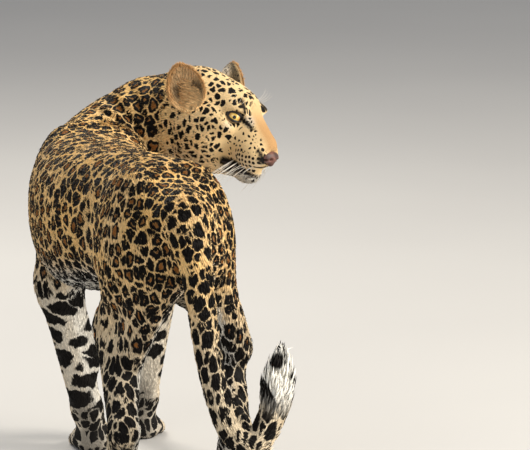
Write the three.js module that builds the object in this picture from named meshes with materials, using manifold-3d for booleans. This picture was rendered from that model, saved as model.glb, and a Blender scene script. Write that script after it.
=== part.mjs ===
// A life-size leopard, standing on all four feet and looking back over its right shoulder.
// The body is one smooth field of distances, made from a spine, a tail, limb segments and muscles.
// The field is turned into one closed surface, which thin flat cuts then part into named pieces.
// Millimetres. +X runs from the hips to the shoulders, +Y is the animal's left and +Z is up.
import * as THREE from "three";
import { mergeVertices } from "three/addons/utils/BufferGeometryUtils.js";
import Module from "manifold-3d";

// Driving dimensions
const PATH_HEIGHT = 447; // height of the trunk's middle line above the floor, at the hips
const HIP_AT = 110; // distance along the spine from the rump to the hip joints
const SHOULDER_AT = 580; // and to the shoulder joints
const SKULL_AT = 790; // and to the back of the skull
const SHOULDER_YAW = -14; // degrees that the fore legs are turned from +X
const STEP = 10; // spacing of the spine's samples
const CUT_GAP = 0.35; // width of the cut between two pieces
const FLOOR_TRIM = 4; // how far the soles are cut back to make flats
const EYE_RADIUS = 15;
const EAR_HALF_WIDTH = 34;
const EAR_HALF_HEIGHT = 43;
const EAR_DEPTH = 24;
const EAR_WALL = 7;
const EAR_GAP = 1.8; // between an ear and the head
const GRID = 27; // spacing of the surface's grid away from the lenses
const LOW = [-480, -560, -120]; // corners of the grid
const HIGH = [780, 380, 880];
const CRUMB = 1000; // cubic millimetres: less than this between two cuts is cut away
const CUT_SIZE = 420; // a cut through the whole trunk

// The floor point below the middle of the animal's own box, in the frame of its hips
const ORIGIN_SHIFT = [-197.4, 72.7];
const HEAD_SHIFT = [1.2, 4.1, 2.2]; // from the end of the spine to the back of the skull
const EYE_PLACE = [143, 31, 55]; // in the head's frame, the left eye

const RAD = Math.PI / 180;
const add = (a, b) => [a[0] + b[0], a[1] + b[1], a[2] + b[2]];
const sub = (a, b) => [a[0] - b[0], a[1] - b[1], a[2] - b[2]];
const scale = (a, k) => [a[0] * k, a[1] * k, a[2] * k];
const dot = (a, b) => a[0] * b[0] + a[1] * b[1] + a[2] * b[2];
const length = (a) => Math.hypot(a[0], a[1], a[2]);
const unit = (a) => scale(a, 1 / length(a));
const mix = (a, b, t) => a + (b - a) * t;
const cross = (a, b) => [a[1] * b[2] - a[2] * b[1], a[2] * b[0] - a[0] * b[2], a[0] * b[1] - a[1] * b[0]];

// A smooth curve through rows of [at, ...values], evened between them by a cubic with shared slopes
function profile(rows) {
  const slope = (i, c) => {
    const lo = rows[Math.max(0, i - 1)];
    const hi = rows[Math.min(rows.length - 1, i + 1)];
    return (hi[c] - lo[c]) / (hi[0] - lo[0]);
  };
  return (at) => {
    const s = Math.min(Math.max(at, rows[0][0]), rows[rows.length - 1][0]);
    let i = 0;
    while (i < rows.length - 2 && s > rows[i + 1][0]) i += 1;
    const span = rows[i + 1][0] - rows[i][0];
    const t = (s - rows[i][0]) / span;
    return rows[i].slice(1).map((value, j) => {
      const c = j + 1;
      const rise = slope(i, c) * span;
      const fall = slope(i + 1, c) * span;
      const far = rows[i + 1][c];
      return (2 * t ** 3 - 3 * t ** 2 + 1) * value + (t ** 3 - 2 * t ** 2 + t) * rise
        + (-2 * t ** 3 + 3 * t ** 2) * far + (t ** 3 - t ** 2) * fall;
    });
  };
}

// A frame is an origin with unit vectors forward, left and up
function frameFrom(origin, yaw, pitch, roll = 0) {
  const forward = [Math.cos(yaw) * Math.cos(pitch), Math.sin(yaw) * Math.cos(pitch), Math.sin(pitch)];
  const level = [-Math.sin(yaw), Math.cos(yaw), 0];
  const rise = cross(forward, level);
  const left = add(scale(level, Math.cos(roll)), scale(rise, Math.sin(roll)));
  return { origin, forward, left, up: cross(forward, left) };
}

const place = (frame, p) => add(frame.origin,
  add(scale(frame.forward, p[0]), add(scale(frame.left, p[1]), scale(frame.up, p[2]))));

const local = (frame, p) => {
  const d = sub(p, frame.origin);
  return [dot(d, frame.forward), dot(d, frame.left), dot(d, frame.up)];
};

// Distance fields. Each shape is a function of a point, with a ball that holds it.
const shape = (distance, centre, reach) => ({ distance, centre, reach });

function ellipsoid(frame, centre, radii) {
  const middle = place(frame, centre);
  const own = { ...frame, origin: middle };
  return shape((p) => {
    const q = local(own, p);
    const k0 = Math.hypot(q[0] / radii[0], q[1] / radii[1], q[2] / radii[2]);
    const k1 = Math.hypot(q[0] / radii[0] ** 2, q[1] / radii[1] ** 2, q[2] / radii[2] ** 2);
    return k1 < 1e-9 ? -Math.min(...radii) : (k0 * (k0 - 1)) / k1;
  }, middle, Math.max(...radii));
}

// A segment whose radius changes from one end to the other, flattened across by a share
function limb(a, ra, b, rb, across = null, flat = 1) {
  const axis = sub(b, a);
  const span = dot(axis, axis);
  const middle = scale(add(a, b), 0.5);
  return shape((p) => {
    const d = sub(p, a);
    const t = Math.min(Math.max(dot(d, axis) / span, 0), 1);
    let off = sub(d, scale(axis, t));
    if (across) off = add(off, scale(across, dot(off, across) * (1 / flat - 1)));
    return (length(off) - mix(ra, rb, t)) * Math.min(1, flat);
  }, middle, Math.sqrt(span) / 2 + Math.max(ra, rb) * Math.max(1, flat));
}

const smoothMin = (a, b, k) => {
  const h = Math.max(k - Math.abs(a - b), 0) / Math.max(k, 1e-6);
  return Math.min(a, b) - (h * h * k) / 4;
};

// Joins shapes in turn, each blended over its own width. Shapes far from the point are passed over.
function joined(entries) {
  return (p, start) => {
    let d = start;
    for (const [part, blend] of entries) {
      const far = length(sub(p, part.centre)) - part.reach;
      if (far > d + blend) continue;
      d = smoothMin(d, part.distance(p), blend);
    }
    return d;
  };
}

// Spine: distance from the rump, then yaw and pitch in degrees
const SPINE = profile([
  [0, 14, 4],
  [110, 13, 3],
  [270, 6, 2],
  [430, -4, 3],
  [530, -14, 8],
  [620, -38, 25],
  [690, -71, 34],
  [740, -99, 22],
  [790, -126, 6],
]);

// Trunk and neck: distance from the rump, then the reach from the spine's line up, down and sideways
const GIRTH = profile([
  [0, 68, 40, 48],
  [50, 118, 70, 80],
  [115, 149, 92, 98],
  [205, 145, 88, 98],
  [300, 132, 114, 114],
  [400, 120, 138, 123],
  [500, 116, 146, 113],
  [575, 116, 142, 96],
  [640, 102, 118, 84],
  [700, 90, 94, 74],
  [790, 70, 74, 66],
]);

function spinePath() {
  const count = Math.round(SKULL_AT / STEP);
  const points = [[0, 0, 0]];
  for (let i = 0; i < count; i += 1) {
    const [yaw, pitch] = SPINE((i + 0.5) * STEP);
    points.push(add(points[i], scale(frameFrom([0, 0, 0], yaw * RAD, pitch * RAD).forward, STEP)));
  }
  const hip = points[Math.round(HIP_AT / STEP)];
  const shift = [-hip[0], -hip[1], PATH_HEIGHT - hip[2]];
  return points.map((p, i) => {
    const [yaw, pitch] = SPINE(i * STEP);
    return frameFrom(add(p, shift), yaw * RAD, pitch * RAD);
  });
}

const spine = spinePath();
const spineFrame = (at) => spine[Math.round(at / STEP)];

// A tube along a row of frames. Its section is two half ovals, with their own reach up and down.
function tube(frames, girthAt, roundness) {
  const xs = frames.map((f) => f.origin);
  const centre = scale(xs.reduce((a, b) => add(a, b)), 1 / xs.length);
  const reach = Math.max(...xs.map((x) => length(sub(x, centre)))) + 170;
  return shape((p) => {
    let best = 0;
    let least = Infinity;
    for (let i = 0; i < frames.length; i += 1) {
      const d = sub(p, xs[i]);
      const dd = dot(d, d);
      if (dd < least) {
        least = dd;
        best = i;
      }
    }
    const q = local(frames[best], p);
    const at = Math.min(Math.max(best * STEP + q[0], 0), (frames.length - 1) * STEP);
    const past = q[0] + best * STEP - at;
    const [up, down, side] = girthAt(at);
    const tall = q[2] > 0 ? up : down;
    const ring = (Math.abs(q[1] / side) ** roundness + Math.abs(q[2] / tall) ** roundness) ** (1 / roundness);
    const least2 = Math.min(side, tall);
    return (Math.hypot(ring, past / (least2 * 0.8)) - 1) * least2;
  }, centre, reach);
}

// Head, in its own frame: x to the nose, y to the left, z up, from the back of the skull
const headFrame = frameFrom(add(spine[spine.length - 1].origin, HEAD_SHIFT),
  -141.7 * RAD, -12.6 * RAD, -6.7 * RAD);

function headParts() {
  const h = (x, y, z) => place(headFrame, [x, y, z]);
  const oval = (c, r) => ellipsoid(headFrame, c, r);
  const parts = [
    [oval([62, 0, 50], [74, 58, 62]), 30], // braincase
    [limb(h(20, 0, 30), 62, h(-40, 0, 0), 64), 40], // nape
    [oval([118, 0, 70], [42, 40, 32]), 24], // forehead
    [limb(h(140, 0, 64), 25, h(198, 0, 22.5), 14, headFrame.left, 1.15), 18], // bridge of the nose
    [limb(h(126, 0, 22), 46, h(190, 0, 6), 29), 24], // upper jaw
    [oval([215, 0, 7], [14, 17, 14]), 10], // nose leather
    [limb(h(90, 0, -18), 42, h(168, 0, -27), 25), 18], // lower jaw
    [oval([180, 0, -34], [23, 21, 20]), 10], // chin
    [limb(h(70, 0, -14), 54, h(0, 0, -22), 60), 30], // throat
  ];
  for (const side of [1, -1]) {
    parts.push([oval([86, 44 * side, 12], [52, 33, 48]), 24]); // cheek
    parts.push([oval([118, 48 * side, 38], [34, 18, 18]), 18]); // cheekbone
    parts.push([oval([145, 33 * side, 66], [22, 15, 13]), 12]); // brow
    parts.push([oval([185, 21 * side, 0], [30, 19, 22]), 12]); // whisker pad
    parts.push([limb(h(60, 42 * side, 66), 22, h(50, 54 * side, 82), 12), 20]); // root of the ear
  }
  return parts;
}

// Eyes look ahead and outwards, from the back of a shallow socket
const eyeCentre = (side) => place(headFrame, [EYE_PLACE[0], EYE_PLACE[1] * side, EYE_PLACE[2]]);
const sockets = [1, -1].map((side) => ellipsoid(headFrame, [159, 43 * side, 55], [18, 16, 11]));

// Legs: joints in millimetres from the shoulder or hip frame, level and turned with the body there
const headingOf = (frame) => Math.atan2(frame.forward[1], frame.forward[0]);
const levelled = (frame, yaw) => frameFrom([frame.origin[0], frame.origin[1], 0], yaw, 0);

const hips = levelled(spineFrame(HIP_AT), headingOf(spineFrame(HIP_AT)));
const shoulders = levelled(spineFrame(SHOULDER_AT), SHOULDER_YAW * RAD);

// Fore limb: out is the elbow's distance to the side, stride how far the paw is ahead of the shoulder and
// spread how far it is out to the side
function foreleg(side, out, stride, spread) {
  const at = (x, y, z) => place(shoulders, [x, y * side, z]);
  const shoulder = at(28, 55, 372);
  const elbow = at(-42 + stride * 0.25, out, 312);
  const wrist = at(stride * 0.92 - 12, mix(out, spread, 0.82), 82);
  const knuckle = at(stride + 8, spread, 37);
  const across = shoulders.left;
  return {
    upper: elbow, lower: wrist, knuckle, frame: shoulders,
    parts: [
      [ellipsoid(shoulders, [-34, 52 * side, 462], [56, 38, 104]), 36], // shoulder blade
      [limb(shoulder, 56, elbow, 47, across, 0.86), 36], // upper arm
      [limb(at(-62, 55, 416), 42, elbow, 39, across, 0.8), 28], // triceps
      [limb(elbow, 45, wrist, 30, across, 0.9), 20], // forearm
      [limb(add(elbow, [0, 0, -26]), 39, add(wrist, [0, 0, 80]), 28, across, 0.92), 14], // forearm muscle
      [limb(wrist, 27, knuckle, 29), 16], // wrist to knuckles
      [limb(add(elbow, scale(shoulders.forward, -30)), 15, elbow, 27), 12], // point of the elbow
    ],
  };
}

// Hind limb: the knee, the hock and the paw by their distance ahead of the hips and out to the side
function hindleg(side, knee, hock, foot) {
  const at = ([x, y], z) => place(hips, [x, y * side, z]);
  const hip = at([-9, 46], 442);
  const stifle = at(knee, 310);
  const heel = at(hock, 160);
  const knuckle = at(foot, 36);
  const ham = at([mix(knee[0], hock[0], 0.5) - 18, mix(knee[1], hock[1], 0.3)], 283);
  const calf = at([mix(hock[0], knee[0], 0.25), mix(hock[1], knee[1], 0.25)], 212);
  const across = unit([heel[1] - knuckle[1], knuckle[0] - heel[0], 0]);
  return {
    upper: stifle, lower: heel, knuckle, frame: hips,
    parts: [
      [ellipsoid(hips, [-14, 52 * side, 468], [86, 48, 108]), 36], // rump
      [limb(hip, 82, stifle, 50, across, 0.74), 36], // thigh
      [limb(at([-72, 44], 416), 44, ham, 36, across, 0.8), 28], // ham
      [limb(stifle, 46, heel, 29, across, 0.9), 22], // shank
      [limb(add(stifle, [0, 0, -36]), 39, calf, 21, across, 0.82), 14], // calf
      [limb(add(heel, [0, 0, 7]), 21, add(heel, scale(hips.forward, -14)), 16), 10], // point of the hock
      [limb(heel, 27, knuckle, 27), 12], // long foot
    ],
  };
}

// A paw: its pad and four toes, splayed round the knuckle
function paw(leg, size, turn) {
  const yaw = headingOf(leg.frame) + turn * RAD;
  const f = frameFrom([leg.knuckle[0], leg.knuckle[1], 0], yaw, 0);
  const parts = [[ellipsoid(f, [6 * size, 0, 24 * size], [40 * size, 37 * size, 29 * size]), 16]];
  const TOES = [[-28, 26, -14], [-10, 44, -5], [10, 44, 5], [28, 26, 14]]; // sideways, forward, splay
  for (const [y, x, splay] of TOES) {
    const c = Math.cos(splay * RAD);
    const s = Math.sin(splay * RAD);
    const root = place(f, [x * size - 22 * c * size, (y - 22 * s * 0.3) * size, 28 * size]);
    const tip = place(f, [x * size + 14 * c * size, (y + 14 * s) * size, 17 * size]);
    parts.push([limb(root, 17 * size, tip, 15.5 * size), 7]);
  }
  return { parts, frame: f };
}

const legs = {
  foreleg_left: foreleg(1, 62, 4, 6),
  foreleg_right: foreleg(-1, 104, 95, 77),
  hindleg_left: hindleg(1, [60, 56], [-53, 106], [38, 68]),
  hindleg_right: hindleg(-1, [26, 114], [-116, 67], [-24, 103]),
};
const paws = {
  paw_fore_left: paw(legs.foreleg_left, 0.92, 0),
  paw_fore_right: paw(legs.foreleg_right, 0.92, -4),
  paw_hind_left: paw(legs.hindleg_left, 0.86, -22),
  paw_hind_right: paw(legs.hindleg_right, 0.86, -20),
};

// Tail: a smooth path from the rump, down behind the right leg and up again at its tip
const TAIL_KNOTS = [
  [-55, -8, 500], [-122, 2, 514], [-160, -8, 448], [-174, -14, 376], [-182, -34, 250], [-185, -62, 175],
  [-187, -94, 152], [-190, -126, 196], [-196, -140, 290],
];
const tailCurve = new THREE.CatmullRomCurve3(
  TAIL_KNOTS.map((p) => new THREE.Vector3(...p)), false, "centripetal");
const TAIL_SEGMENTS = 36;
const TAIL_RADIUS = profile([[0, 50], [0.12, 40], [0.25, 30], [0.6, 25], [0.85, 27], [0.95, 25], [1, 15]]);

function tailParts() {
  const points = tailCurve.getSpacedPoints(TAIL_SEGMENTS).map((p) => p.toArray());
  return points.slice(1).map((p, i) => [
    limb(points[i], TAIL_RADIUS(i / TAIL_SEGMENTS)[0], p, TAIL_RADIUS((i + 1) / TAIL_SEGMENTS)[0]),
    i < 6 ? 36 - i * 6 : 0.5,
  ]);
}

// The whole field. The limbs blend with the trunk, and the tail and the chin stay clear of it.
const trunk = tube(spine, GIRTH, 2.4);
const limbEntries = [...Object.values(legs).flatMap((leg) => leg.parts),
  ...Object.values(paws).flatMap((foot) => foot.parts)];
const fieldBody = joined([[trunk, 0], ...limbEntries]);
const fieldHead = joined(headParts());
const fieldTail = joined(tailParts());

function bodyField(p) {
  const body = fieldBody(p, 400);
  const head = sockets.reduce((d, socket) => -smoothMin(-d, socket.distance(p), 5), fieldHead(p, 400));
  const near = length(sub(p, place(headFrame, [-40, 0, 0])));
  const neckBlend = 30 * Math.min(Math.max((190 - near) / 60, 0.05), 1);
  const d = smoothMin(body, head, neckBlend);
  const root = length(sub(p, TAIL_KNOTS[1]));
  const tailBlend = 30 * Math.min(Math.max((150 - root) / 60, 0.02), 1);
  return smoothMin(d, fieldTail(p, 400), tailBlend);
}

// Ears: an oval cup that opens ahead and outwards, with its wall thinning to the rim
function earCup(side) {
  const along = (x, y, z) => unit(add(scale(headFrame.forward, x),
    add(scale(headFrame.left, y * side), scale(headFrame.up, z))));
  const open = along(0.38, 0.92, 0.05);
  const across = unit(cross(along(-0.42, 0.33, 0.85), open));
  const rise = cross(open, across);
  const middle = place(headFrame, [61, 76 * side, 80]);
  const AROUND = 18;
  const ALONG = 4;
  const at = (angle, t) => {
    const reach = Math.sin((Math.PI / 2) * t);
    const depth = (t < 1 ? EAR_DEPTH : EAR_DEPTH - EAR_WALL) * Math.abs(Math.cos((Math.PI / 2) * t));
    const wide = EAR_HALF_WIDTH * Math.cos(angle) * (1 - 0.14 * Math.sin(angle));
    const tall = EAR_HALF_HEIGHT * Math.sin(angle);
    return add(middle, add(scale(open, -depth - 4 * Math.abs(Math.cos(angle)) * reach),
      add(scale(across, wide * reach), scale(rise, tall * reach))));
  };
  const vertices = [...at(0, 0)];
  for (let j = 1; j < 2 * ALONG; j += 1) {
    for (let i = 0; i < AROUND; i += 1) vertices.push(...at((2 * Math.PI * i) / AROUND, j / ALONG));
  }
  vertices.push(...at(0, 2));
  const last = vertices.length / 3 - 1;
  const ring = (j, i) => 1 + (j - 1) * AROUND + (i % AROUND);
  const triangles = [];
  for (let i = 0; i < AROUND; i += 1) {
    triangles.push(0, ring(1, i + 1), ring(1, i));
    for (let j = 1; j < 2 * ALONG - 1; j += 1) {
      triangles.push(ring(j, i), ring(j, i + 1), ring(j + 1, i));
      triangles.push(ring(j, i + 1), ring(j + 1, i + 1), ring(j + 1, i));
    }
    triangles.push(ring(2 * ALONG - 1, i), ring(2 * ALONG - 1, i + 1), last);
  }
  return { vertices: new Float32Array(vertices), triangles: new Uint32Array(triangles) };
}

// Groups a cell's corners into those that one sheet of the surface holds together. Inside corners meet along
// the cell's edges only, and outside corners also across a face whose corners alternate.
function sheets(inside) {
  const group = [0, 1, 2, 3, 4, 5, 6, 7];
  const join = (a, b) => {
    const [x, y] = [group[a], group[b]];
    for (let i = 0; i < 8; i += 1) if (group[i] === y) group[i] = x;
  };
  for (let a = 0; a < 8; a += 1) {
    for (const bit of [1, 2, 4]) if (!(a & bit) && inside[a] === inside[a | bit]) join(a, a | bit);
  }
  for (let a = 0; a < 8; a += 1) {
    for (const [u, w] of [[1, 2], [2, 4], [1, 4]]) {
      if (a & (u | w)) continue;
      const face = [a, a | u, a | u | w, a | w];
      if (inside[face[0]] !== inside[face[2]] || inside[face[1]] !== inside[face[3]]) continue;
      if (inside[face[0]] === inside[face[1]]) continue;
      join(...(inside[face[0]] ? [face[1], face[3]] : [face[0], face[2]]));
    }
  }
  return group;
}

// Surface of a field: one vertex in each grid cell that the surface crosses, joined round each crossed edge
function surface(field, low, high, spacing, lenses, level, nudge) {
  const warp = (q) => {
    const moved = [...q];
    for (const { centre, shrink, radius } of lenses) {
      const d = sub(q, centre);
      const k = -(1 - shrink) * Math.exp(-dot(d, d) / radius ** 2);
      for (let c = 0; c < 3; c += 1) moved[c] += d[c] * k;
    }
    return moved;
  };
  const size = [0, 1, 2].map((c) => Math.ceil((high[c] - low[c]) / spacing) + 2);
  const stride = [1, size[0], size[0] * size[1]];
  const total = size[0] * size[1] * size[2];
  const value = new Float64Array(total);
  const where = new Float64Array(total * 3);
  for (let k = 0, n = 0; k < size[2]; k += 1) {
    for (let j = 0; j < size[1]; j += 1) {
      for (let i = 0; i < size[0]; i += 1, n += 1) {
        const p = warp([low[0] + (i + nudge) * spacing, low[1] + (j + nudge) * spacing, low[2] + k * spacing]);
        where.set(p, n * 3);
        value[n] = field(p) - level;
      }
    }
  }
  const CORNERS = [0, 1, 2, 3, 4, 5, 6, 7].map((c) => (c & 1) * stride[0] + ((c >> 1) & 1) * stride[1]
    + ((c >> 2) & 1) * stride[2]);
  const EDGES = [];
  for (let a = 0; a < 8; a += 1) {
    for (let c = 0; c < 3; c += 1) if (!(a & (1 << c))) EDGES.push([a, a | (1 << c), c]);
  }
  const vertexOf = new Map(); // by cell, edge corner and axis
  const vertices = [];
  for (let k = 0; k < size[2] - 1; k += 1) {
    for (let j = 0; j < size[1] - 1; j += 1) {
      for (let i = 0; i < size[0] - 1; i += 1) {
        const n = i + j * stride[1] + k * stride[2];
        const inside = CORNERS.map((step) => value[n + step] < 0);
        if (inside.every((x) => x === inside[0])) continue;
        const group = sheets(inside);
        const sums = new Map();
        for (const [a, b, axis] of EDGES) {
          if (inside[a] === inside[b]) continue;
          const na = n + CORNERS[a];
          const nb = n + CORNERS[b];
          const t = value[na] / (value[na] - value[nb]);
          const key = inside[a] ? group[a] * 8 + group[b] : group[b] * 8 + group[a];
          if (!sums.has(key)) sums.set(key, { sum: [0, 0, 0], edges: [] });
          const entry = sums.get(key);
          for (let c = 0; c < 3; c += 1) entry.sum[c] += mix(where[na * 3 + c], where[nb * 3 + c], t);
          entry.edges.push(a * 3 + axis);
        }
        for (const { sum, edges } of sums.values()) {
          for (const edge of edges) vertexOf.set(n * 24 + edge, vertices.length / 3);
          vertices.push(...settle(field, scale(sum, 1 / edges.length), level, spacing / 5));
        }
      }
    }
  }
  const triangles = [];
  for (let k = 1; k < size[2] - 1; k += 1) {
    for (let j = 1; j < size[1] - 1; j += 1) {
      for (let i = 1; i < size[0] - 1; i += 1) {
        const n = i + j * stride[1] + k * stride[2];
        for (let c = 0; c < 3; c += 1) {
          const inside = value[n] < 0;
          if (inside === value[n + stride[c]] < 0) continue;
          const [cu, cw] = [(c + 1) % 3, (c + 2) % 3];
          const round = [[0, 0], [1, 0], [1, 1], [0, 1]];
          const quad = round.map(([u, w]) => vertexOf.get((n - u * stride[cu] - w * stride[cw]) * 24
            + ((u << cu) | (w << cw)) * 3 + c));
          if (inside) quad.reverse();
          triangles.push(quad[0], quad[2], quad[1], quad[0], quad[3], quad[2]);
        }
      }
    }
  }
  return { vertices: new Float32Array(vertices), triangles: new Uint32Array(triangles) };
}

// Moves a point a little way along the field's slope, to lie on the surface
function settle(field, p, level, most) {
  const d = field(p) - level;
  const slope = [0, 1, 2].map((c) => field(p.map((x, i) => (i === c ? x + 1 : x))) - level - d);
  const move = Math.min(Math.max(-d / Math.max(dot(slope, slope), 0.2), -most), most);
  return add(p, scale(slope, move));
}

const wasm = await Module();
wasm.setup();

const closed = ({ vertices, triangles }) => new wasm.Manifold(
  new wasm.Mesh({ numProp: 3, vertProperties: vertices, triVerts: triangles }));

// Solids of a field at several levels. Where two parts of a surface share an edge of the grid's cells, it can't
// be closed, and a small shift of the grid parts them.
function solids(field, levels, lenses) {
  for (const nudge of [0, 0.21, 0.37, 0.53, 0.71, 0.83]) {
    const found = levels.map((level) => surface(field, LOW, HIGH, GRID, lenses, level, nudge));
    try {
      return found.map((made) => largest(closed(made)));
    } catch {
      continue;
    }
  }
  throw new Error("the surface meets itself at every shift of the grid");
}

const largest = (made) => made.decompose().reduce((a, b) => (a.volume() > b.volume() ? a : b));

function fromGeometry(geometry) {
  const bare = geometry.clone();
  bare.deleteAttribute("normal");
  bare.deleteAttribute("uv");
  const merged = mergeVertices(bare, 1e-3);
  return new wasm.Manifold(new wasm.Mesh({
    numProp: 3,
    vertProperties: new Float32Array(merged.attributes.position.array),
    triVerts: new Uint32Array(merged.index.array),
  }));
}

// A box from a frame: its near face holds the frame's origin, and it reaches away along forward
function slab(frame, depth, width, height) {
  const box = new THREE.BoxGeometry(depth, width, height);
  const turn = new THREE.Matrix4().makeBasis(...[frame.forward, frame.left, frame.up]
    .map((axis) => new THREE.Vector3(...axis)));
  box.applyMatrix4(turn);
  const centre = add(frame.origin, scale(frame.forward, depth / 2));
  box.translate(...centre);
  return fromGeometry(box);
}

// Lenses: grids finer about the head, and about each paw
const LENSES = [
  { centre: place(headFrame, [120, 0, 20]), shrink: 0.45, radius: 215 },
  ...Object.values(paws).map((foot) => ({ centre: place(foot.frame, [14, 0, 34]), shrink: 0.6, radius: 95 })),
];

const [whole, grown] = solids(bodyField, [0, EAR_GAP], LENSES);

const ball = (side, radius) => fromGeometry(
  new THREE.IcosahedronGeometry(radius, 2).translate(...eyeCentre(side)));

const floorBlock = slab(frameFrom([LOW[0], 0, FLOOR_TRIM - 100], 0, 0), HIGH[0] - LOW[0], 1600, 200);

// Thin cuts, each a plate across one part of the body, with its near face on a frame's origin
function plate(frame, width, height, across = 0, above = 0) {
  const origin = add(frame.origin, add(scale(frame.left, across), scale(frame.up, above)));
  return slab({ ...frame, origin }, CUT_GAP, width, height);
}

const frameAlong = (origin, direction) => {
  const d = unit(direction);
  return frameFrom(origin, Math.atan2(d[1], d[0]), Math.asin(d[2]));
};

function tailCut(at) {
  const p = tailCurve.getPointAt(at).toArray();
  return plate(frameAlong(p, tailCurve.getTangentAt(at).toArray()), 130, 130);
}

const hindCut = (side) => plate(frameAlong(place(hips, [0, 30 * side, 352]),
  add(scale(hips.left, 0.62 * side), [0, 0, -0.78])), 340, 200, -10 * side, 55);
const foreCut = (side) => plate(frameAlong(place(shoulders, [0, 40 * side, 318]),
  add(scale(shoulders.left, 0.5 * side), [0, 0, -0.86])), 320, 230, 0, 50);
const pawCut = (leg, height) => plate(frameAlong([leg.knuckle[0], leg.knuckle[1], height], [0.02, 0, -1]),
  150, 170);

const noseFrame = { ...headFrame, origin: place(headFrame, [206, 0, 28]) };
const noseFloor = { ...headFrame, origin: place(headFrame, [206, 0, -7]), forward: scale(headFrame.up, -1),
  up: headFrame.forward };

const MIDDLES = {
  head: place(headFrame, [100, 0, 30]),
  nose: place(headFrame, [228, 0, 8]),
  neck: spineFrame(700).origin,
  chest: spineFrame(540).origin,
  abdomen: spineFrame(330).origin,
  hindquarters: spineFrame(100).origin,
  tail_base: tailCurve.getPointAt(0.47).toArray(),
  tail_middle: tailCurve.getPointAt(0.7).toArray(),
  tail_tip: tailCurve.getPointAt(0.92).toArray(),
};
for (const [name, leg] of Object.entries(legs)) MIDDLES[name] = scale(add(leg.upper, leg.lower), 0.5);
for (const [name, foot] of Object.entries(paws)) MIDDLES[name] = place(foot.frame, [10, 0, 30]);

// Each cut parts the one piece that it passes through most
const CUTS = [
  plate(spineFrame(430), CUT_SIZE, CUT_SIZE),
  plate(spineFrame(250), CUT_SIZE, CUT_SIZE),
  plate(spineFrame(630), 300, 330, 30),
  plate(spineFrame(750), 215, 300, 22, -5),
  plate(noseFrame, 90, 72).add(plate(noseFloor, 90, 60, 0, 29.8)),
  tailCut(0.34),
  tailCut(0.58),
  tailCut(0.84),
  hindCut(1),
  hindCut(-1),
  foreCut(1),
  foreCut(-1),
  pawCut(legs.foreleg_left, 72),
  pawCut(legs.foreleg_right, 72),
  pawCut(legs.hindleg_left, 64),
  pawCut(legs.hindleg_right, 64),
];

function middleOf(made) {
  const { vertProperties } = made.getMesh();
  let sum = [0, 0, 0];
  for (let i = 0; i < vertProperties.length; i += 3) sum = add(sum, vertProperties.slice(i, i + 3));
  return scale(sum, 3 / vertProperties.length);
}

const lowest = (list, cost) => list.reduce((a, b) => (cost(a) <= cost(b) ? a : b));

let lengths = [whole.subtract(floorBlock).subtract(ball(1, EYE_RADIUS + CUT_GAP))
  .subtract(ball(-1, EYE_RADIUS + CUT_GAP))];
for (const cut of CUTS) {
  const parted = lowest(lengths, (made) => -made.intersect(cut).volume());
  const halves = parted.subtract(cut).decompose().filter((made) => made.volume() > CRUMB);
  lengths = [...lengths.filter((made) => made !== parted), ...halves];
}

const root = new THREE.Group();
function material(color, roughness, metalness = 0) {
  return new THREE.MeshStandardMaterial({ color, roughness, metalness });
}
const COAT = material(0xc9975a, 0.85);
const EAR = material(0xbd8c55, 0.85);
const NOSE = material(0x6b4a40, 0.45);
const IRIS = material(0xb9923a, 0.15);

function piece(name, made, finish) {
  const mesh = made.translate([ORIGIN_SHIFT[0], ORIGIN_SHIFT[1], -FLOOR_TRIM]).getMesh();
  const geometry = new THREE.BufferGeometry();
  geometry.setAttribute("position", new THREE.BufferAttribute(new Float32Array(mesh.vertProperties), 3));
  geometry.setIndex(new THREE.BufferAttribute(new Uint32Array(mesh.triVerts), 1));
  const node = new THREE.Mesh(geometry, finish);
  node.name = name;
  root.add(node);
}

if (lengths.length !== Object.keys(MIDDLES).length) throw new Error("the cuts don't part the named pieces");
for (const [name, middle] of Object.entries(MIDDLES)) {
  const made = lowest(lengths, (other) => length(sub(middleOf(other), middle)));
  lengths = lengths.filter((other) => other !== made);
  piece(name, made, name === "nose" ? NOSE : COAT);
}
for (const side of [1, -1]) {
  const name = side > 0 ? "left" : "right";
  piece("ear_" + name, largest(closed(earCup(side)).subtract(grown)), EAR);
  piece("eye_" + name, ball(side, EYE_RADIUS), IRIS);
}

export default root;
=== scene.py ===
"""A life-size leopard, standing on all fours and looking back over its right shoulder.

The animal is one smooth field of distances, built from a spine, a head, four legs and a tail. One skin is
that field's surface, a coat's depth below the solids. Tufts of hair grow from it and follow the lie of the
coat. The eyes, lids, nose leather, lips, whiskers and claws are surfaces of their own.

Lengths are millimetres until a mesh is made. +X runs from hips to shoulders, +Y is the animal's left.
"""

import logging
import math
from dataclasses import dataclass
from enum import Enum
from typing import Callable, Sequence

import bpy
import numpy as np
from mathutils import Matrix, Vector


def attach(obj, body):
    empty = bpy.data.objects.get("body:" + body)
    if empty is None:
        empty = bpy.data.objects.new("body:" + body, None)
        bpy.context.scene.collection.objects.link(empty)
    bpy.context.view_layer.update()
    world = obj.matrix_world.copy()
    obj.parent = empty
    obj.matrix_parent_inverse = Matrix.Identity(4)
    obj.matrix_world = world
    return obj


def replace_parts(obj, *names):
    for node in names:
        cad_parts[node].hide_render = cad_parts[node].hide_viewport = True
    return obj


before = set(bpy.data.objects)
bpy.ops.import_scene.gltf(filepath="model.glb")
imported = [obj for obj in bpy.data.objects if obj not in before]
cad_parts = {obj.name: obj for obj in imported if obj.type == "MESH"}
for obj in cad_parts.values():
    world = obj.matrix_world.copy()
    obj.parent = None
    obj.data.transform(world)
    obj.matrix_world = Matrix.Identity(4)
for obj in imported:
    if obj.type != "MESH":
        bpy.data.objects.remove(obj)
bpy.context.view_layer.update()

LOG = logging.getLogger("leopard")
Array = np.ndarray
MM = 0.001
UP = np.array([0.0, 0.0, 1.0])

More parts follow.
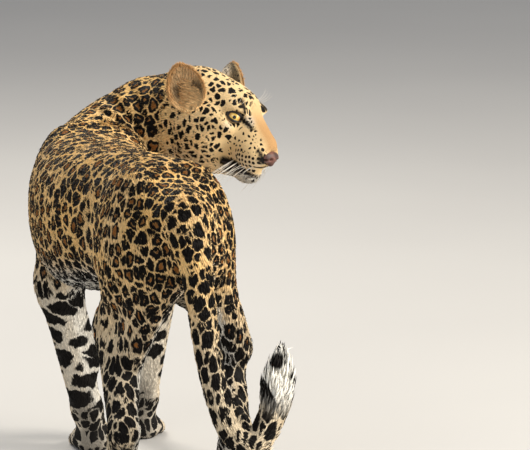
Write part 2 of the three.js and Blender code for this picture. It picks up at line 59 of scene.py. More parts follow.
PATH_HEIGHT = 447.0
HIP_AT = 110
SHOULDER_AT = 580
SKULL_AT = 790
STEP = 10
SHOULDER_YAW = -14.0
FLOOR_TRIM = 4.0
EYE_RADIUS = 15.0
EYE_PLACE = np.array([143.0, 31.0, 55.0])
HEAD_SHIFT = np.array([1.2, 4.1, 2.2])
ORIGIN_SHIFT = np.array([-197.4, 72.7, -FLOOR_TRIM])
HEAD_TURN = (-141.7, -12.6, -6.7)
EAR_MIDDLE = np.array([61.0, 76.0, 80.0])
EAR_ROOT = ((64, 68, 72), 34)
FAR = 400.0
SKIN_SPACING, QUICK_SPACING = 6.4, 9.0
COAT_COVER, QUICK_COVER = 1.6, 0.5

# Distance along the spine with its yaw and pitch in degrees, from the rump to the back of the skull.
SPINE_ROWS = (
    (0, 14, 4), (110, 13, 3), (270, 6, 2), (430, -4, 3), (530, -14, 8),
    (620, -38, 25), (690, -71, 34), (740, -99, 22), (790, -126, 6),
)
# Distance along the spine with the trunk's reach above it, below it and to the side.
GIRTH_ROWS = (
    (0, 68, 40, 48), (50, 118, 70, 80), (115, 149, 92, 98), (205, 145, 88, 98),
    (300, 132, 114, 114), (400, 120, 138, 123), (500, 116, 146, 113), (575, 116, 142, 96),
    (640, 102, 118, 84), (700, 90, 94, 74), (790, 70, 74, 66),
)
# Knots of the tail's curve from inside the rump to the tip, and its radius at shares of its length.
TAIL_KNOTS = (
    (-55, -8, 500), (-122, 2, 514), (-160, -8, 448), (-174, -14, 376), (-182, -34, 250),
    (-185, -62, 175), (-187, -94, 152), (-190, -126, 196), (-196, -140, 290),
)
TAIL_GIRTH = ((0, 50), (0.12, 40), (0.25, 30), (0.6, 25), (0.85, 27), (0.95, 25), (1, 15))
TAIL_SEGMENTS = 36
TAIL_SPACING = 24.0


def unit(vectors: Array) -> Array:
    """Vectors of length one."""
    return vectors / np.maximum(np.linalg.norm(vectors, axis=-1, keepdims=True), 1e-9)


def dots(a: Array, b: Array) -> Array:
    """Dot products, row by row."""
    return (a * b).sum(-1)


def ramp(value: Array, start: float, end: float) -> Array:
    """Zero at start and one at end, with a smooth S between: 3t squared less 2t cubed."""
    t = np.clip((value - start) / (end - start), 0.0, 1.0)
    return t * t * (3.0 - 2.0 * t)


@dataclass(frozen=True)
class Frame:
    """An origin with unit vectors ahead, to the left and up."""

    origin: Array
    forward: Array
    left: Array
    up: Array

    @classmethod
    def turned(cls, origin: Array, yaw: float, pitch: float = 0.0, roll: float = 0.0) -> "Frame":
        """A frame turned by angles in degrees.

        Args:
            origin: the frame's origin.
            yaw: turn about the vertical, from +X towards +Y.
            pitch: rise of the forward vector.
            roll: turn about the forward vector.

        Returns:
            The frame.
        """
        a, b, c = (math.radians(angle) for angle in (yaw, pitch, roll))
        forward = np.array([math.cos(a) * math.cos(b), math.sin(a) * math.cos(b), math.sin(b)])
        level = np.array([-math.sin(a), math.cos(a), 0.0])
        left = level * math.cos(c) + np.cross(forward, level) * math.sin(c)
        return cls(np.asarray(origin, float), forward, left, np.cross(forward, left))

    @property
    def axes(self) -> Array:
        """The three unit vectors as rows."""
        return np.stack([self.forward, self.left, self.up])

    def place(self, points: Array) -> Array:
        """Points given in this frame, in the animal's own."""
        return self.origin + np.asarray(points, float) @ self.axes

    def local(self, points: Array) -> Array:
        """Points of the animal's frame, given in this one."""
        return (points - self.origin) @ self.axes.T

    @property
    def heading(self) -> float:
        """Yaw of the forward vector in degrees."""
        return math.degrees(math.atan2(self.forward[1], self.forward[0]))


class Profile:
    """A smooth curve through rows of a place and its values, a cubic between rows with shared slopes."""

    def __init__(self, rows: Sequence[Sequence[float]]) -> None:
        table = np.array(rows, float)
        self.at = table[:, 0]
        self.values = table[:, 1:]
        low = np.maximum(np.arange(len(table)) - 1, 0)
        high = np.minimum(np.arange(len(table)) + 1, len(table) - 1)
        self.slopes = (self.values[high] - self.values[low]) / (self.at[high] - self.at[low])[:, None]

    def __call__(self, at: Array) -> Array:
        """Values at each place.

        Args:
            at: places along the curve.

        Returns:
            One row of values for each place.
        """
        s = np.clip(np.asarray(at, float), self.at[0], self.at[-1])
        i = np.clip(np.searchsorted(self.at[1:], s), 0, len(self.at) - 2)
        span = (self.at[i + 1] - self.at[i])[..., None]
        t = (s - self.at[i])[..., None] / span
        return ((2 * t**3 - 3 * t**2 + 1) * self.values[i] + (t**3 - 2 * t**2 + t) * self.slopes[i] * span
                + (3 * t**2 - 2 * t**3) * self.values[i + 1] + (t**3 - t**2) * self.slopes[i + 1] * span)


class Shape:
    """A distance field with a ball that holds its solid."""

    centre: Array
    reach: float

    def distance(self, points: Array) -> Array:
        """Signed distance of each point, negative inside."""
        raise NotImplementedError


class Oval(Shape):
    """An ellipsoid in a frame. Its distance is k(k - 1)/g, k the scaled radius and g its slope."""

    def __init__(self, own: Frame, centre: Sequence[float], radii: Sequence[float]) -> None:
        self.frame = Frame(own.place(centre), own.forward, own.left, own.up)
        self.radii = np.array(radii, float)
        self.centre = self.frame.origin
        self.reach = float(self.radii.max())

    def distance(self, points: Array) -> Array:
        """Signed distance of each point, negative inside."""
        q = self.frame.local(points)
        k = np.linalg.norm(q / self.radii, axis=-1)
        g = np.linalg.norm(q / self.radii**2, axis=-1)
        return np.where(g < 1e-9, -self.radii.min(), k * (k - 1) / np.maximum(g, 1e-9))


class Limb(Shape):
    """A segment whose radius changes evenly from end to end, flattened across by a share."""

    def __init__(self, a: Array, ra: float, b: Array, rb: float, across: Array | None = None,
                 flat: float = 1.0) -> None:
        self.a, self.axis = np.asarray(a, float), np.asarray(b, float) - a
        self.ra, self.rb = ra, rb
        self.across, self.flat = across, flat
        self.centre = self.a + self.axis / 2
        self.reach = float(np.linalg.norm(self.axis)) / 2 + max(ra, rb) * max(1.0, flat)

    def distance(self, points: Array) -> Array:
        """Signed distance of each point, negative inside."""
        d = points - self.a
        t = np.clip(d @ self.axis / (self.axis @ self.axis), 0.0, 1.0)
        off = d - t[:, None] * self.axis
        if self.across is not None:
            off = off + self.across * (off @ self.across)[:, None] * (1 / self.flat - 1)
        return (np.linalg.norm(off, axis=-1) - (self.ra + (self.rb - self.ra) * t)) * min(1.0, self.flat)


class Tube(Shape):
    """A tube along frames a step apart. Its section is two half superovals, up and down."""

    ROUNDNESS = 2.4
    CHUNK = 200_000

    def __init__(self, frames: Sequence[Frame], girth: Profile) -> None:
        self.frames = frames
        self.girth = girth
        self.origins = np.stack([f.origin for f in frames])
        self.axes = np.stack([f.axes for f in frames])
        self.centre = self.origins.mean(0)
        self.reach = float(np.linalg.norm(self.origins - self.centre, axis=1).max()) + 170.0

    def section(self, points: Array) -> tuple[Array, Array]:
        """Where each point lies along and across the tube.

        Args:
            points: places in the animal's frame.

        Returns:
            The distance along the tube, and the place in the frame nearest to the point.
        """
        best = np.empty(len(points), int)
        for start in range(0, len(points), self.CHUNK):
            some = slice(start, start + self.CHUNK)
            away = (self.origins**2).sum(1) - 2 * points[some] @ self.origins.T
            best[some] = away.argmin(1)
        q = np.einsum("nij,nj->ni", self.axes[best], points - self.origins[best])
        return best * STEP + q[:, 0], q

    def distance(self, points: Array) -> Array:
        """Signed distance of each point, negative inside."""
        along, q = self.section(points)
        at = np.clip(along, 0.0, (len(self.frames) - 1) * STEP)
        up, down, side = self.girth(at).T
        tall = np.where(q[:, 2] > 0, up, down)
        n = self.ROUNDNESS
        ring = (np.abs(q[:, 1] / side) ** n + np.abs(q[:, 2] / tall) ** n) ** (1 / n)
        least = np.minimum(side, tall)
        return (np.hypot(ring, (along - at) / (least * 0.8)) - 1) * least


def smooth_min(a: Array, b: Array, k: float | Array) -> Array:
    """The lower of two fields, rounded over a width k where they meet."""
    h = np.maximum(k - np.abs(a - b), 0.0) / np.maximum(k, 1e-6)
    return np.minimum(a, b) - h * h * k / 4


Entries = list[tuple[Shape, float]]


def joined(entries: Entries, points: Array, start: Array | float = FAR) -> Array:
    """Joins shapes in turn, each blended over its own width.

    Args:
        entries: shapes with the width of their blend.
        points: places in the animal's frame.
        start: the field that the first shape joins.

    Returns:
        The joined field.
    """
    d = np.broadcast_to(np.asarray(start, float), (len(points),)).copy()
    for shape, blend in entries:
        near = np.linalg.norm(points - shape.centre, axis=1) - shape.reach <= d + blend
        if near.any():
            d[near] = smooth_min(d[near], shape.distance(points[near]), blend)
    return d


class Leg:
    """One leg with its paw: shapes, joints and the frame that it is measured in."""

    def __init__(self, side: int, own: Frame, chain: Sequence[Array], knuckle: Array, parts: Entries,
                 size: float, turn: float) -> None:
        self.side, self.frame, self.chain = side, own, [np.asarray(c) for c in chain]
        self.size = size
        self.paw = Frame.turned(np.array([knuckle[0], knuckle[1], 0.0]), own.heading + turn)
        self.parts = parts
        self.toes = self.make_paw()

    def make_paw(self) -> list[tuple[Array, Array]]:
        """Adds the pad and four toes, splayed round the knuckle.

        Returns:
            The root and tip of each toe.
        """
        k = self.size
        self.parts.append((Oval(self.paw, (6 * k, 0, 24 * k), (40 * k, 37 * k, 29 * k)), 16))
        toes = []
        for y, x, splay in ((-28, 26, -14), (-10, 44, -5), (10, 44, 5), (28, 26, 14)):
            c, s = math.cos(math.radians(splay)), math.sin(math.radians(splay))
            root = self.paw.place((x * k - 22 * c * k, (y - 6.6 * s) * k, 28 * k))
            tip = self.paw.place((x * k + 14 * c * k, (y + 14 * s) * k, 17 * k))
            self.parts.append((Limb(root, 17 * k, tip, 15.5 * k), 7))
            toes.append((root, tip))
        return toes


class Anatomy:
    """The animal's posed frames and shapes, and the field that joins them."""

    def __init__(self) -> None:
        self.spine = self.make_spine()
        self.trunk = Tube(self.spine, Profile(GIRTH_ROWS))
        self.head = Frame.turned(self.spine[-1].origin + HEAD_SHIFT, *HEAD_TURN)
        hip = self.spine[HIP_AT // STEP]
        shoulder = self.spine[SHOULDER_AT // STEP]
        floor = np.array([1.0, 1.0, 0.0])
        self.hips = Frame.turned(hip.origin * floor, hip.heading)
        self.shoulders = Frame.turned(shoulder.origin * floor, SHOULDER_YAW)
        self.legs = {
            "foreleg_left": self.foreleg(1, 62, 4, 6, 0),
            "foreleg_right": self.foreleg(-1, 104, 95, 77, -4),
            "hindleg_left": self.hindleg(1, (60, 56), (-53, 106), (38, 68), -22),
            "hindleg_right": self.hindleg(-1, (26, 114), (-116, 67), (-24, 103), -20),
        }
        self.tail_points = self.spaced_tail()
        self.tail_parts = self.make_tail()
        self.head_parts = self.make_head()
        self.sockets = [Oval(self.head, (159, 43 * side, 55), (18, 16, 11)) for side in (1, -1)]

    @staticmethod
    def make_spine() -> list[Frame]:
        """Frames a step apart from the rump to the back of the skull."""
        angles = Profile(SPINE_ROWS)
        count = SKULL_AT // STEP
        points = [np.zeros(3)]
        for yaw, pitch in angles((np.arange(count) + 0.5) * STEP):
            points.append(points[-1] + Frame.turned(np.zeros(3), yaw, pitch).forward * STEP)
        path = np.array(points)
        path += np.array([0.0, 0.0, PATH_HEIGHT]) - path[HIP_AT // STEP]
        return [Frame.turned(p, *turn) for p, turn in zip(path, angles(np.arange(count + 1) * STEP))]

    def make_head(self) -> Entries:
        """Shapes of the head: x to the nose, y to the left, z up, from the back of the skull."""
        h = self.head.place
        own = self.head

        def oval(centre: Sequence[float], radii: Sequence[float]) -> Oval:
            """An ellipsoid of the head."""
            return Oval(own, centre, radii)

        parts: Entries = [
            (oval((62, 0, 50), (74, 58, 62)), 30),
            (Limb(h((20, 0, 30)), 62, h((-40, 0, 0)), 64), 40),
            (oval((118, 0, 70), (42, 40, 32)), 24),
            (Limb(h((140, 0, 64)), 25, h((198, 0, 22.5)), 14, own.left, 1.15), 18),
            (Limb(h((126, 0, 22)), 46, h((190, 0, 6)), 29), 24),
            (oval((211, 0, 4), (13, 16, 13)), 10),
            (Limb(h((90, 0, -18)), 42, h((168, 0, -27)), 25), 18),
            (oval((180, 0, -34), (23, 21, 20)), 10),
            (Limb(h((70, 0, -14)), 54, h((0, 0, -22)), 60), 30),
        ]
        for side in (1, -1):
            parts += [
                (oval((86, 44 * side, 12), (52, 33, 48)), 24),
                (oval((118, 48 * side, 38), (34, 18, 18)), 18),
                (oval((145, 33 * side, 66), (22, 15, 13)), 12),
                (oval((185, 21 * side, 0), (30, 19, 22)), 12),
                (Limb(h((60, 42 * side, 66)), 22, h((50, 54 * side, 82)), 12), 20),
            ]
        return parts

    def foreleg(self, side: int, out: float, stride: float, spread: float, turn: float) -> Leg:
        """A fore leg.

        Args:
            side: 1 for the left, -1 for the right.
            out: the elbow's distance to the side.
            stride: how far the paw is ahead of the shoulder.
            spread: how far the paw is out to the side.
            turn: the paw's own turn in degrees.

        Returns:
            The leg.
        """
        own = self.shoulders

        def at(x: float, y: float, z: float) -> Array:
            """A joint, with y measured out to the leg's own side."""
            return own.place((x, y * side, z))

        elbow = at(-42 + stride * 0.25, out, 312)
        wrist = at(stride * 0.92 - 12, out + (spread - out) * 0.82, 82)
        knuckle = at(stride + 8, spread, 37)
        rise = np.array([0.0, 0.0, 1.0])
        parts: Entries = [
            (Oval(own, (-34, 52 * side, 462), (56, 38, 104)), 36),
            (Limb(at(28, 55, 372), 56, elbow, 47, own.left, 0.86), 36),
            (Limb(at(-62, 55, 416), 42, elbow, 39, own.left, 0.8), 28),
            (Limb(elbow, 45, wrist, 30, own.left, 0.9), 20),
            (Limb(elbow - 26 * rise, 39, wrist + 80 * rise, 28, own.left, 0.92), 14),
            (Limb(wrist, 27, knuckle, 29), 16),
            (Limb(elbow - 30 * own.forward, 15, elbow, 27), 12),
        ]
        return Leg(side, own, (at(28, 55, 372), elbow, wrist, knuckle), knuckle, parts, 0.92, turn)

    def hindleg(self, side: int, knee: Sequence[float], hock: Sequence[float], foot: Sequence[float],
                turn: float) -> Leg:
        """A hind leg, its joints given as the distance ahead of the hips and out to the side.

        Args:
            side: 1 for the left, -1 for the right.
            knee: place of the knee.
            hock: place of the hock.
            foot: place of the knuckles.
            turn: the paw's own turn in degrees.

        Returns:
            The leg.
        """
        own = self.hips

        def at(x: float, y: float, z: float) -> Array:
            """A joint, with y measured out to the leg's own side."""
            return own.place((x, y * side, z))

        hip, stifle, heel, knuckle = at(-9, 46, 442), at(*knee, 310), at(*hock, 160), at(*foot, 36)
        ham = at((knee[0] + hock[0]) / 2 - 18, knee[1] + (hock[1] - knee[1]) * 0.3, 283)
        calf = at(hock[0] + (knee[0] - hock[0]) * 0.25, hock[1] + (knee[1] - hock[1]) * 0.25, 212)
        across = unit(np.array([heel[1] - knuckle[1], knuckle[0] - heel[0], 0.0]))
        rise = np.array([0.0, 0.0, 1.0])
        parts: Entries = [
            (Oval(own, (-14, 52 * side, 468), (86, 48, 108)), 36),
            (Limb(hip, 82, stifle, 50, across, 0.74), 36),
            (Limb(at(-72, 44, 416), 44, ham, 36, across, 0.8), 28),
            (Limb(stifle, 46, heel, 29, across, 0.9), 22),
            (Limb(stifle - 36 * rise, 39, calf, 21, across, 0.82), 14),
            (Limb(heel + 7 * rise, 21, heel - 14 * own.forward, 16), 10),
            (Limb(heel, 27, knuckle, 27), 12),
        ]
        return Leg(side, own, (hip, stifle, heel, knuckle), knuckle, parts, 0.86, turn)

    @staticmethod
    def spaced_tail() -> Array:
        """Points evenly spaced along a centripetal curve through the tail's knots."""
        knots = np.array(TAIL_KNOTS, float)
        knots = np.vstack([2 * knots[0] - knots[1], knots, 2 * knots[-1] - knots[-2]])
        rows = []
        t = np.linspace(0, 1, 41)[:-1, None]
        for p0, p1, p2, p3 in zip(knots, knots[1:], knots[2:], knots[3:]):
            g0, g1, g2 = (math.sqrt(np.linalg.norm(b - a)) for a, b in ((p0, p1), (p1, p2), (p2, p3)))
            start = (p1 - p0) / g0 - (p2 - p0) / (g0 + g1) + (p2 - p1) / g1
            end = (p2 - p1) / g1 - (p3 - p1) / (g1 + g2) + (p3 - p2) / g2
            m1, m2 = start * g1, end * g1
            rows.append((2 * t**3 - 3 * t**2 + 1) * p1 + (t**3 - 2 * t**2 + t) * m1
                        + (3 * t**2 - 2 * t**3) * p2 + (t**3 - t**2) * m2)
        path = np.vstack([*rows, knots[-2:-1]])
        along = np.concatenate([[0], np.cumsum(np.linalg.norm(np.diff(path, axis=0), axis=1))])
        even = np.linspace(0, along[-1], TAIL_SEGMENTS + 1)
        return np.stack([np.interp(even, along, path[:, c]) for c in range(3)], 1)

    def make_tail(self) -> Entries:
        """Shapes of the tail, thick at its root and blended into the rump there."""
        radii = Profile(TAIL_GIRTH)(np.linspace(0, 1, TAIL_SEGMENTS + 1))[:, 0]
        p = self.tail_points
        return [(Limb(p[i], radii[i], p[i + 1], radii[i + 1]), 36 - i * 6 if i < 6 else 0.5)
                for i in range(TAIL_SEGMENTS)]

    def head_field(self, points: Array) -> Array:
        """The head alone, with its sockets hollowed."""
        d = joined(self.head_parts, points)
        for socket in self.sockets:
            d = -smooth_min(-d, socket.distance(points), 5)
        return d

    def body_field(self, points: Array) -> Array:
        """The trunk and legs."""
        entries = [part for leg in self.legs.values() for part in leg.parts]
        return joined([(self.trunk, 0), *entries], points)

    def field(self, points: Array) -> Array:
        """The whole animal. The tail and the chin stay clear of the body.

        Args:
            points: places in the hips' frame.

        Returns:
            Signed distances, negative inside.
        """
        near = np.linalg.norm(points - self.head.place((-40, 0, 0)), axis=1)
        d = smooth_min(self.body_field(points), self.head_field(points),
                       30 * np.clip((190 - near) / 60, 0.05, 1))
        root = np.linalg.norm(points - np.array(TAIL_KNOTS[1], float), axis=1)
        return smooth_min(d, joined(self.tail_parts, points), 30 * np.clip((150 - root) / 60, 0.02, 1))


@dataclass
class Shell:
    """A mesh as arrays: points, triangles and named values at the points."""

    points: Array
    triangles: Array
    values: dict[str, Array]

    @property
    def normals(self) -> Array:
        """Point normals, the sum of the crossed edges of the faces round each point."""
        corners = self.points[self.triangles]
        across = np.cross(corners[:, 1] - corners[:, 0], corners[:, 2] - corners[:, 0])
        total = np.zeros_like(self.points)
        for c in range(3):
            for axis in range(3):
                total[:, axis] += np.bincount(self.triangles[:, c], across[:, axis], len(self.points))
        return unit(total)

    @property
    def flipped(self) -> "Shell":
        """The same mesh with its faces turned over."""
        return Shell(self.points, self.triangles[:, ::-1], self.values)

    @staticmethod
    def merged(shells: Sequence["Shell"]) -> "Shell":
        """Several shells as one, with the values that all of them have."""
        starts = np.cumsum([0] + [len(s.points) for s in shells])
        names = set.intersection(*(set(s.values) for s in shells))
        return Shell(np.vstack([s.points for s in shells]),
                     np.vstack([s.triangles + n for s, n in zip(shells, starts)]),
                     {name: np.concatenate([s.values[name] for s in shells]) for name in sorted(names)})


@dataclass(frozen=True)
class Lens:
    """A place where the grid is finer.

    A point at a distance d moves towards the centre by the share (1 - shrink) exp(-(d/radius)^2) of it.
    """

    centre: Array
    shrink: float
    radius: float

    def pull(self, points: Array) -> Array:
        """The move of each point."""
        away = points - self.centre
        fade = np.exp(-(away**2).sum(-1, keepdims=True) / self.radius**2)
        return -(1 - self.shrink) * fade * away


def surface(field: Callable[[Array], Array], low: Array, high: Array, spacing: float,
            lenses: Sequence[Lens] = (), block: int = 4) -> Shell:
    """The zero level of a field, with one point in each grid cell that it crosses.

    A coarse pass finds the blocks of cells near the level. Each point is the mean of the crossings on its
    cell's edges, then moves along the field's slope on to the level.

    Args:
        field: signed distance of points.
        low: lowest corner of the grid.
        high: highest corner of the grid.
        spacing: size of a cell away from the lenses.
        lenses: places with a finer grid.
        block: cells along the side of a block of the coarse pass.

    Returns:
        The surface, with its faces pointing out.
    """
    size = (np.ceil((np.asarray(high) - low) / spacing / block).astype(int) + 1) * block

    def warp(index: Array) -> Array:
        """The place of a grid index."""
        q = low + index * spacing
        return q + sum((lens.pull(q) for lens in lenses), np.zeros_like(q))

    coarse = np.stack(np.meshgrid(*(np.arange(0, n + 1, block) for n in size), indexing="ij"), -1)
    shape = coarse.shape[:3]
    rough = field(warp(coarse.reshape(-1, 3))).reshape(shape)
    pieces = [rough[i:shape[0] - 1 + i, j:shape[1] - 1 + j, k:shape[2] - 1 + k]
              for i in (0, 1) for j in (0, 1) for k in (0, 1)]
    near = np.min(np.abs(pieces), axis=0) < block * spacing * 1.35 + 6
    fine = near.repeat(block, 0).repeat(block, 1).repeat(block, 2)
    value = np.sign(pieces[0]).repeat(block, 0).repeat(block, 1).repeat(block, 2) * 99.0
    index = np.argwhere(fine)
    value[fine] = field(warp(index))
    stride = np.array([value.shape[1] * value.shape[2], value.shape[2], 1])
    flat = value.reshape(-1)
    cells, places, quads = [], [], []
    for c in range(3):
        u, w = (c + 1) % 3, (c + 2) % 3
        first = [slice(1, -1)] * 3
        second = list(first)
        first[c], second[c] = slice(1, -2), slice(2, -1)
        crossed = (value[tuple(first)] < 0) != (value[tuple(second)] < 0)
        at = np.argwhere(crossed) + 1
        n = at @ stride
        share = flat[n] / (flat[n] - flat[n + stride[c]])
        step = np.zeros(3, int)
        step[c] = 1
        place = warp(at) * (1 - share[:, None]) + warp(at + step) * share[:, None]
        ring = np.stack([n, n - stride[u], n - stride[u] - stride[w], n - stride[w]], 1)
        ring[flat[n] >= 0] = ring[flat[n] >= 0][:, ::-1]
        quads.append(ring)
        cells.append(ring.reshape(-1))
        places.append(place.repeat(4, 0))
    found, where = np.unique(np.concatenate(cells), return_inverse=True)
    total = np.concatenate(places)
    count = np.bincount(where, minlength=len(found))
    points = np.stack([np.bincount(where, total[:, c], len(found)) / count for c in range(3)], 1)
    for _ in range(2):
        value_here = field(points)
        slope = gradient(field, points)
        move = -value_here / np.maximum((slope**2).sum(1), 0.3)
        points = points + slope * np.clip(move, -spacing / 5, spacing / 5)[:, None]
    quad = np.searchsorted(found, np.concatenate(quads))
    return Shell(points, np.concatenate([quad[:, [0, 1, 2]], quad[:, [0, 2, 3]]]), {})


def gradient(field: Callable[[Array], Array], points: Array, step: float = 0.6) -> Array:
    """Slope of a field at points, by central differences."""
    axes = np.eye(3) * step
    return np.stack([(field(points + a) - field(points - a)) / (2 * step) for a in axes], 1)


def spread(value: Array, shape: tuple[int, ...]) -> Array:
    """A row or column of values over a whole grid, as one flat list."""
    return np.broadcast_to(value, shape).reshape(-1)


def settled(field: Callable[[Array], Array], points: Array, depth: float) -> Array:
    """Points moved along a field's slope to a depth inside its surface."""
    for _ in range(4):
        value = field(points)
        points = points - unit(gradient(field, points)) * (value + depth)[:, None]
    return points


def grid_shell(points: Array, closed_rows: bool = True, closed_columns: bool = True) -> Shell:
    """A grid of points as a mesh.

    Args:
        points: rows by columns of places.
        closed_rows: whether the last row joins the first.
        closed_columns: whether the last column joins the first.

    Returns:
        The mesh.
    """
    rows, columns = points.shape[:2]
    index = np.arange(rows * columns).reshape(rows, columns)
    if closed_rows:
        index = np.vstack([index, index[:1]])
    if closed_columns:
        index = np.hstack([index, index[:, :1]])
    a, b, c, d = index[:-1, :-1], index[1:, :-1], index[1:, 1:], index[:-1, 1:]
    quads = np.stack([a, b, c, d], -1).reshape(-1, 4)
    return Shell(points.reshape(-1, 3), np.concatenate([quads[:, [0, 1, 2]], quads[:, [0, 2, 3]]]), {})


def capped(shell: Shell, columns: int) -> Shell:
    """Closes an open tube.

    Args:
        shell: rows of points, open at the first and the last row.
        columns: points in a row.

    Returns:
        The tube with a fan of triangles round a new middle point at each end.
    """
    count = len(shell.points)
    first, last = np.arange(columns), np.arange(count - columns, count)
    fans = [np.stack([np.full(columns, count), first, np.roll(first, -1)], 1),
            np.stack([np.full(columns, count + 1), np.roll(last, -1), last], 1)]
    values = {key: np.vstack([v, v[first].mean(0), v[last].mean(0)]) for key, v in shell.values.items()}
    points = np.vstack([shell.points, shell.points[first].mean(0), shell.points[last].mean(0)])
    return Shell(points, np.vstack([shell.triangles, *fans]), values)


class Group(Enum):
    """The parts of the body that the coat is told apart by."""

    TRUNK = 0
    HEAD = 1
    TAIL = 2
    FORELEG_LEFT = 3
    FORELEG_RIGHT = 4
    HINDLEG_LEFT = 5
    HINDLEG_RIGHT = 6
    EAR = 7


@dataclass(frozen=True)
class Mark:
    """A dark mark on the face: a capsule on the right of the head's frame, mirrored to the left."""

    WEIGHTS = (1.0, 0.4, 1.0)

    start: tuple[float, float, float]
    end: tuple[float, float, float]
    width: float

    def cover(self, local: Array) -> Array:
        """Share of the mark at each point. Distance across the head counts less."""
        a, b = np.array(self.start), np.array(self.end)
        t = np.clip((local - a) @ (b - a) / max((b - a) @ (b - a), 1e-6), 0, 1)
        away = np.linalg.norm((local - a - t[:, None] * (b - a)) * self.WEIGHTS, axis=1)
        return 1 - ramp(away, self.width * 0.6, self.width * 1.25)


@dataclass(frozen=True)
class Sites:
    """Where places on the skin lie on the animal.

    Share is that of each group, along and q are the distance along the spine and the place in its nearest
    frame, of index best, and local is the place in the head's frame. The tail has the share of its length,
    its direction and the angle round it.
    """

    points: Array
    normals: Array
    share: Array
    along: Array
    best: Array
    q: Array
    local: Array
    tail_at: Array
    tail_ahead: Array
    tail_angle: Array


class Pelt:
    """What the coat is like at each place: its lie, length and the zones of its markings."""

    def __init__(self, body: Anatomy) -> None:
        self.body = body

    def depth(self, points: Array) -> Array:
        """How far the skin lies below the tips of the coat."""
        head = ramp(np.linalg.norm(points - self.body.head.place((130, 0, 20)), axis=1), 200, 110)
        muzzle = ramp(self.body.head.local(points)[:, 0], 120, 185) * head
        low = ramp(points[:, 2], 300, 180) * (points[:, 0] > -140)
        nose = ramp(np.linalg.norm(points - self.body.head.place((224, 0, 2)), axis=1), 20, 9)
        depth = 4.6 - 2.4 * head - 1.2 * muzzle - 1.8 * low + 9 * nose
        return depth * ramp(points[:, 2], 4, 26)

    def folds(self, points: Array) -> Array:
        """Creases that the turned neck and the flanks press into the skin, as a change of the field."""
        along, q = self.body.trunk.section(points)
        neck = ramp(along, 560, 610) * ramp(along, 780, 730)
        inner = ramp(q[:, 1], 10, -60)
        wave = np.cos(along * 2 * math.pi / 34 + 0.02 * q[:, 2])
        flank = ramp(along, 150, 190) * ramp(along, 300, 250) * ramp(np.abs(q[:, 1]), 60, 90)
        groin = np.cos((along + 0.55 * q[:, 2] - 205) * 2 * math.pi / 90)
        return 2.6 * neck * inner * wave - 2.0 * flank * ramp(groin, 0.3, -1.0)

    def skin_field(self, points: Array) -> Array:
        """The animal less its coat, cut flat at the soles."""
        d = self.body.field(points)
        near = np.abs(d) < 60
        out = d.copy()
        some = points[near]
        out[near] += self.depth(some) + self.folds(some)
        return np.maximum(out, FLOOR_TRIM + 0.2 - points[:, 2])

    def groups(self, points: Array) -> Array:
        """How much each point belongs to each group.

        Args:
            points: places on the skin.

        Returns:
            One row of shares for each point, by the nearness of each group.
        """
        body = self.body
        away = [body.trunk.distance(points), joined(body.head_parts, points),
                joined(body.tail_parts, points)]
        away += [joined(leg.parts, points) for leg in body.legs.values()]
        away.append(np.full(len(points), FAR))
        away = np.stack(away, 1)
        share = np.exp(-(away - away.min(1, keepdims=True)) / 12)
        return share / share.sum(1, keepdims=True)

    def tail_place(self, points: Array) -> tuple[Array, Array, Array]:
        """Where points lie on the tail.

        Args:
            points: places on the skin.

        Returns:
            The share of the tail's length, its direction there, and the angle round it.
        """
        path = self.body.tail_points
        away = ((points[:, None, :] - path[None, ::2, :])**2).sum(-1)
        i = np.clip(away.argmin(1) * 2, 1, len(path) - 2)
        ahead = unit(path[i + 1] - path[i - 1])
        off = points - path[i]
        share = (i + (off * ahead).sum(1) / TAIL_SPACING) / TAIL_SEGMENTS
        side = unit(np.cross(ahead, np.array([1.0, 0.3, 0.2])))
        return share, ahead, np.arctan2(dots(off, side), dots(off, np.cross(side, ahead)))

    def survey(self, points: Array, normals: Array) -> dict[str, Array]:
        """Everything that the coat and its colours need to know at places on the skin.

        Args:
            points: places on the skin.
            normals: the skin's normals there.

        Returns:
            The lie, shares of the groups, coordinates of the pattern, and two rows of four zones.
        """
        along, q = self.body.trunk.section(points)
        best = np.clip((along / STEP).astype(int), 0, len(self.body.spine) - 1)
        local = self.body.head.local(points)
        s = Sites(points, normals, self.groups(points), along, best, q, local, *self.tail_place(points))
        flow = self.lie(s)
        zones, more = self.zones(s)
        return {"flow": unit(flow - normals * dots(flow, normals)[:, None]), "share": s.share,
                "pelt": self.pattern(points), "zones": zones, "more": more, "skull": local, "along": along,
                "flank": q[:, 1], "unwrap": self.unwrap(s)}

    def lie(self, s: Sites) -> Array:
        """Direction in which the hair lies, before it is laid on the skin.

        Args:
            s: places on the skin.

        Returns:
            One direction for each point: back along the trunk, down the legs and away from the nose.
        """
        body, share = self.body, s.share
        x, y, z = s.local.T
        back = -np.stack([f.forward for f in body.spine])[s.best]
        trunk = back - 0.5 * UP * ramp(np.abs(s.q[:, 1]), 30, 110)[:, None]
        cheek = np.stack([-np.ones(len(x)), 0.25 * np.sign(y) * ramp(x, 190, 90),
                          -0.35 * ramp(z, 60, 0) * ramp(x, 200, 120)], 1)
        flow = share[:, :1] * trunk + share[:, 1:2] * (cheek @ body.head.axes)
        flow = flow + share[:, 2:3] * s.tail_ahead
        for i, leg in enumerate(body.legs.values()):
            low = ramp(s.points[:, 2], 75, 35)[:, None]
            down = -UP - 0.25 * leg.frame.forward * (1 - low) + 1.2 * leg.paw.forward * low
            flow = flow + share[:, 3 + i:4 + i] * down
        return flow

    @staticmethod
    def pattern(points: Array) -> Array:
        """Coordinates of the markings in metres, drawn out upwards and more so along the legs."""
        height = 0.8 * points[:, 2] - 0.18 * (np.minimum(points[:, 2], 330.0) - 330.0)
        return np.stack([points[:, 0], points[:, 1], height], 1) * MM

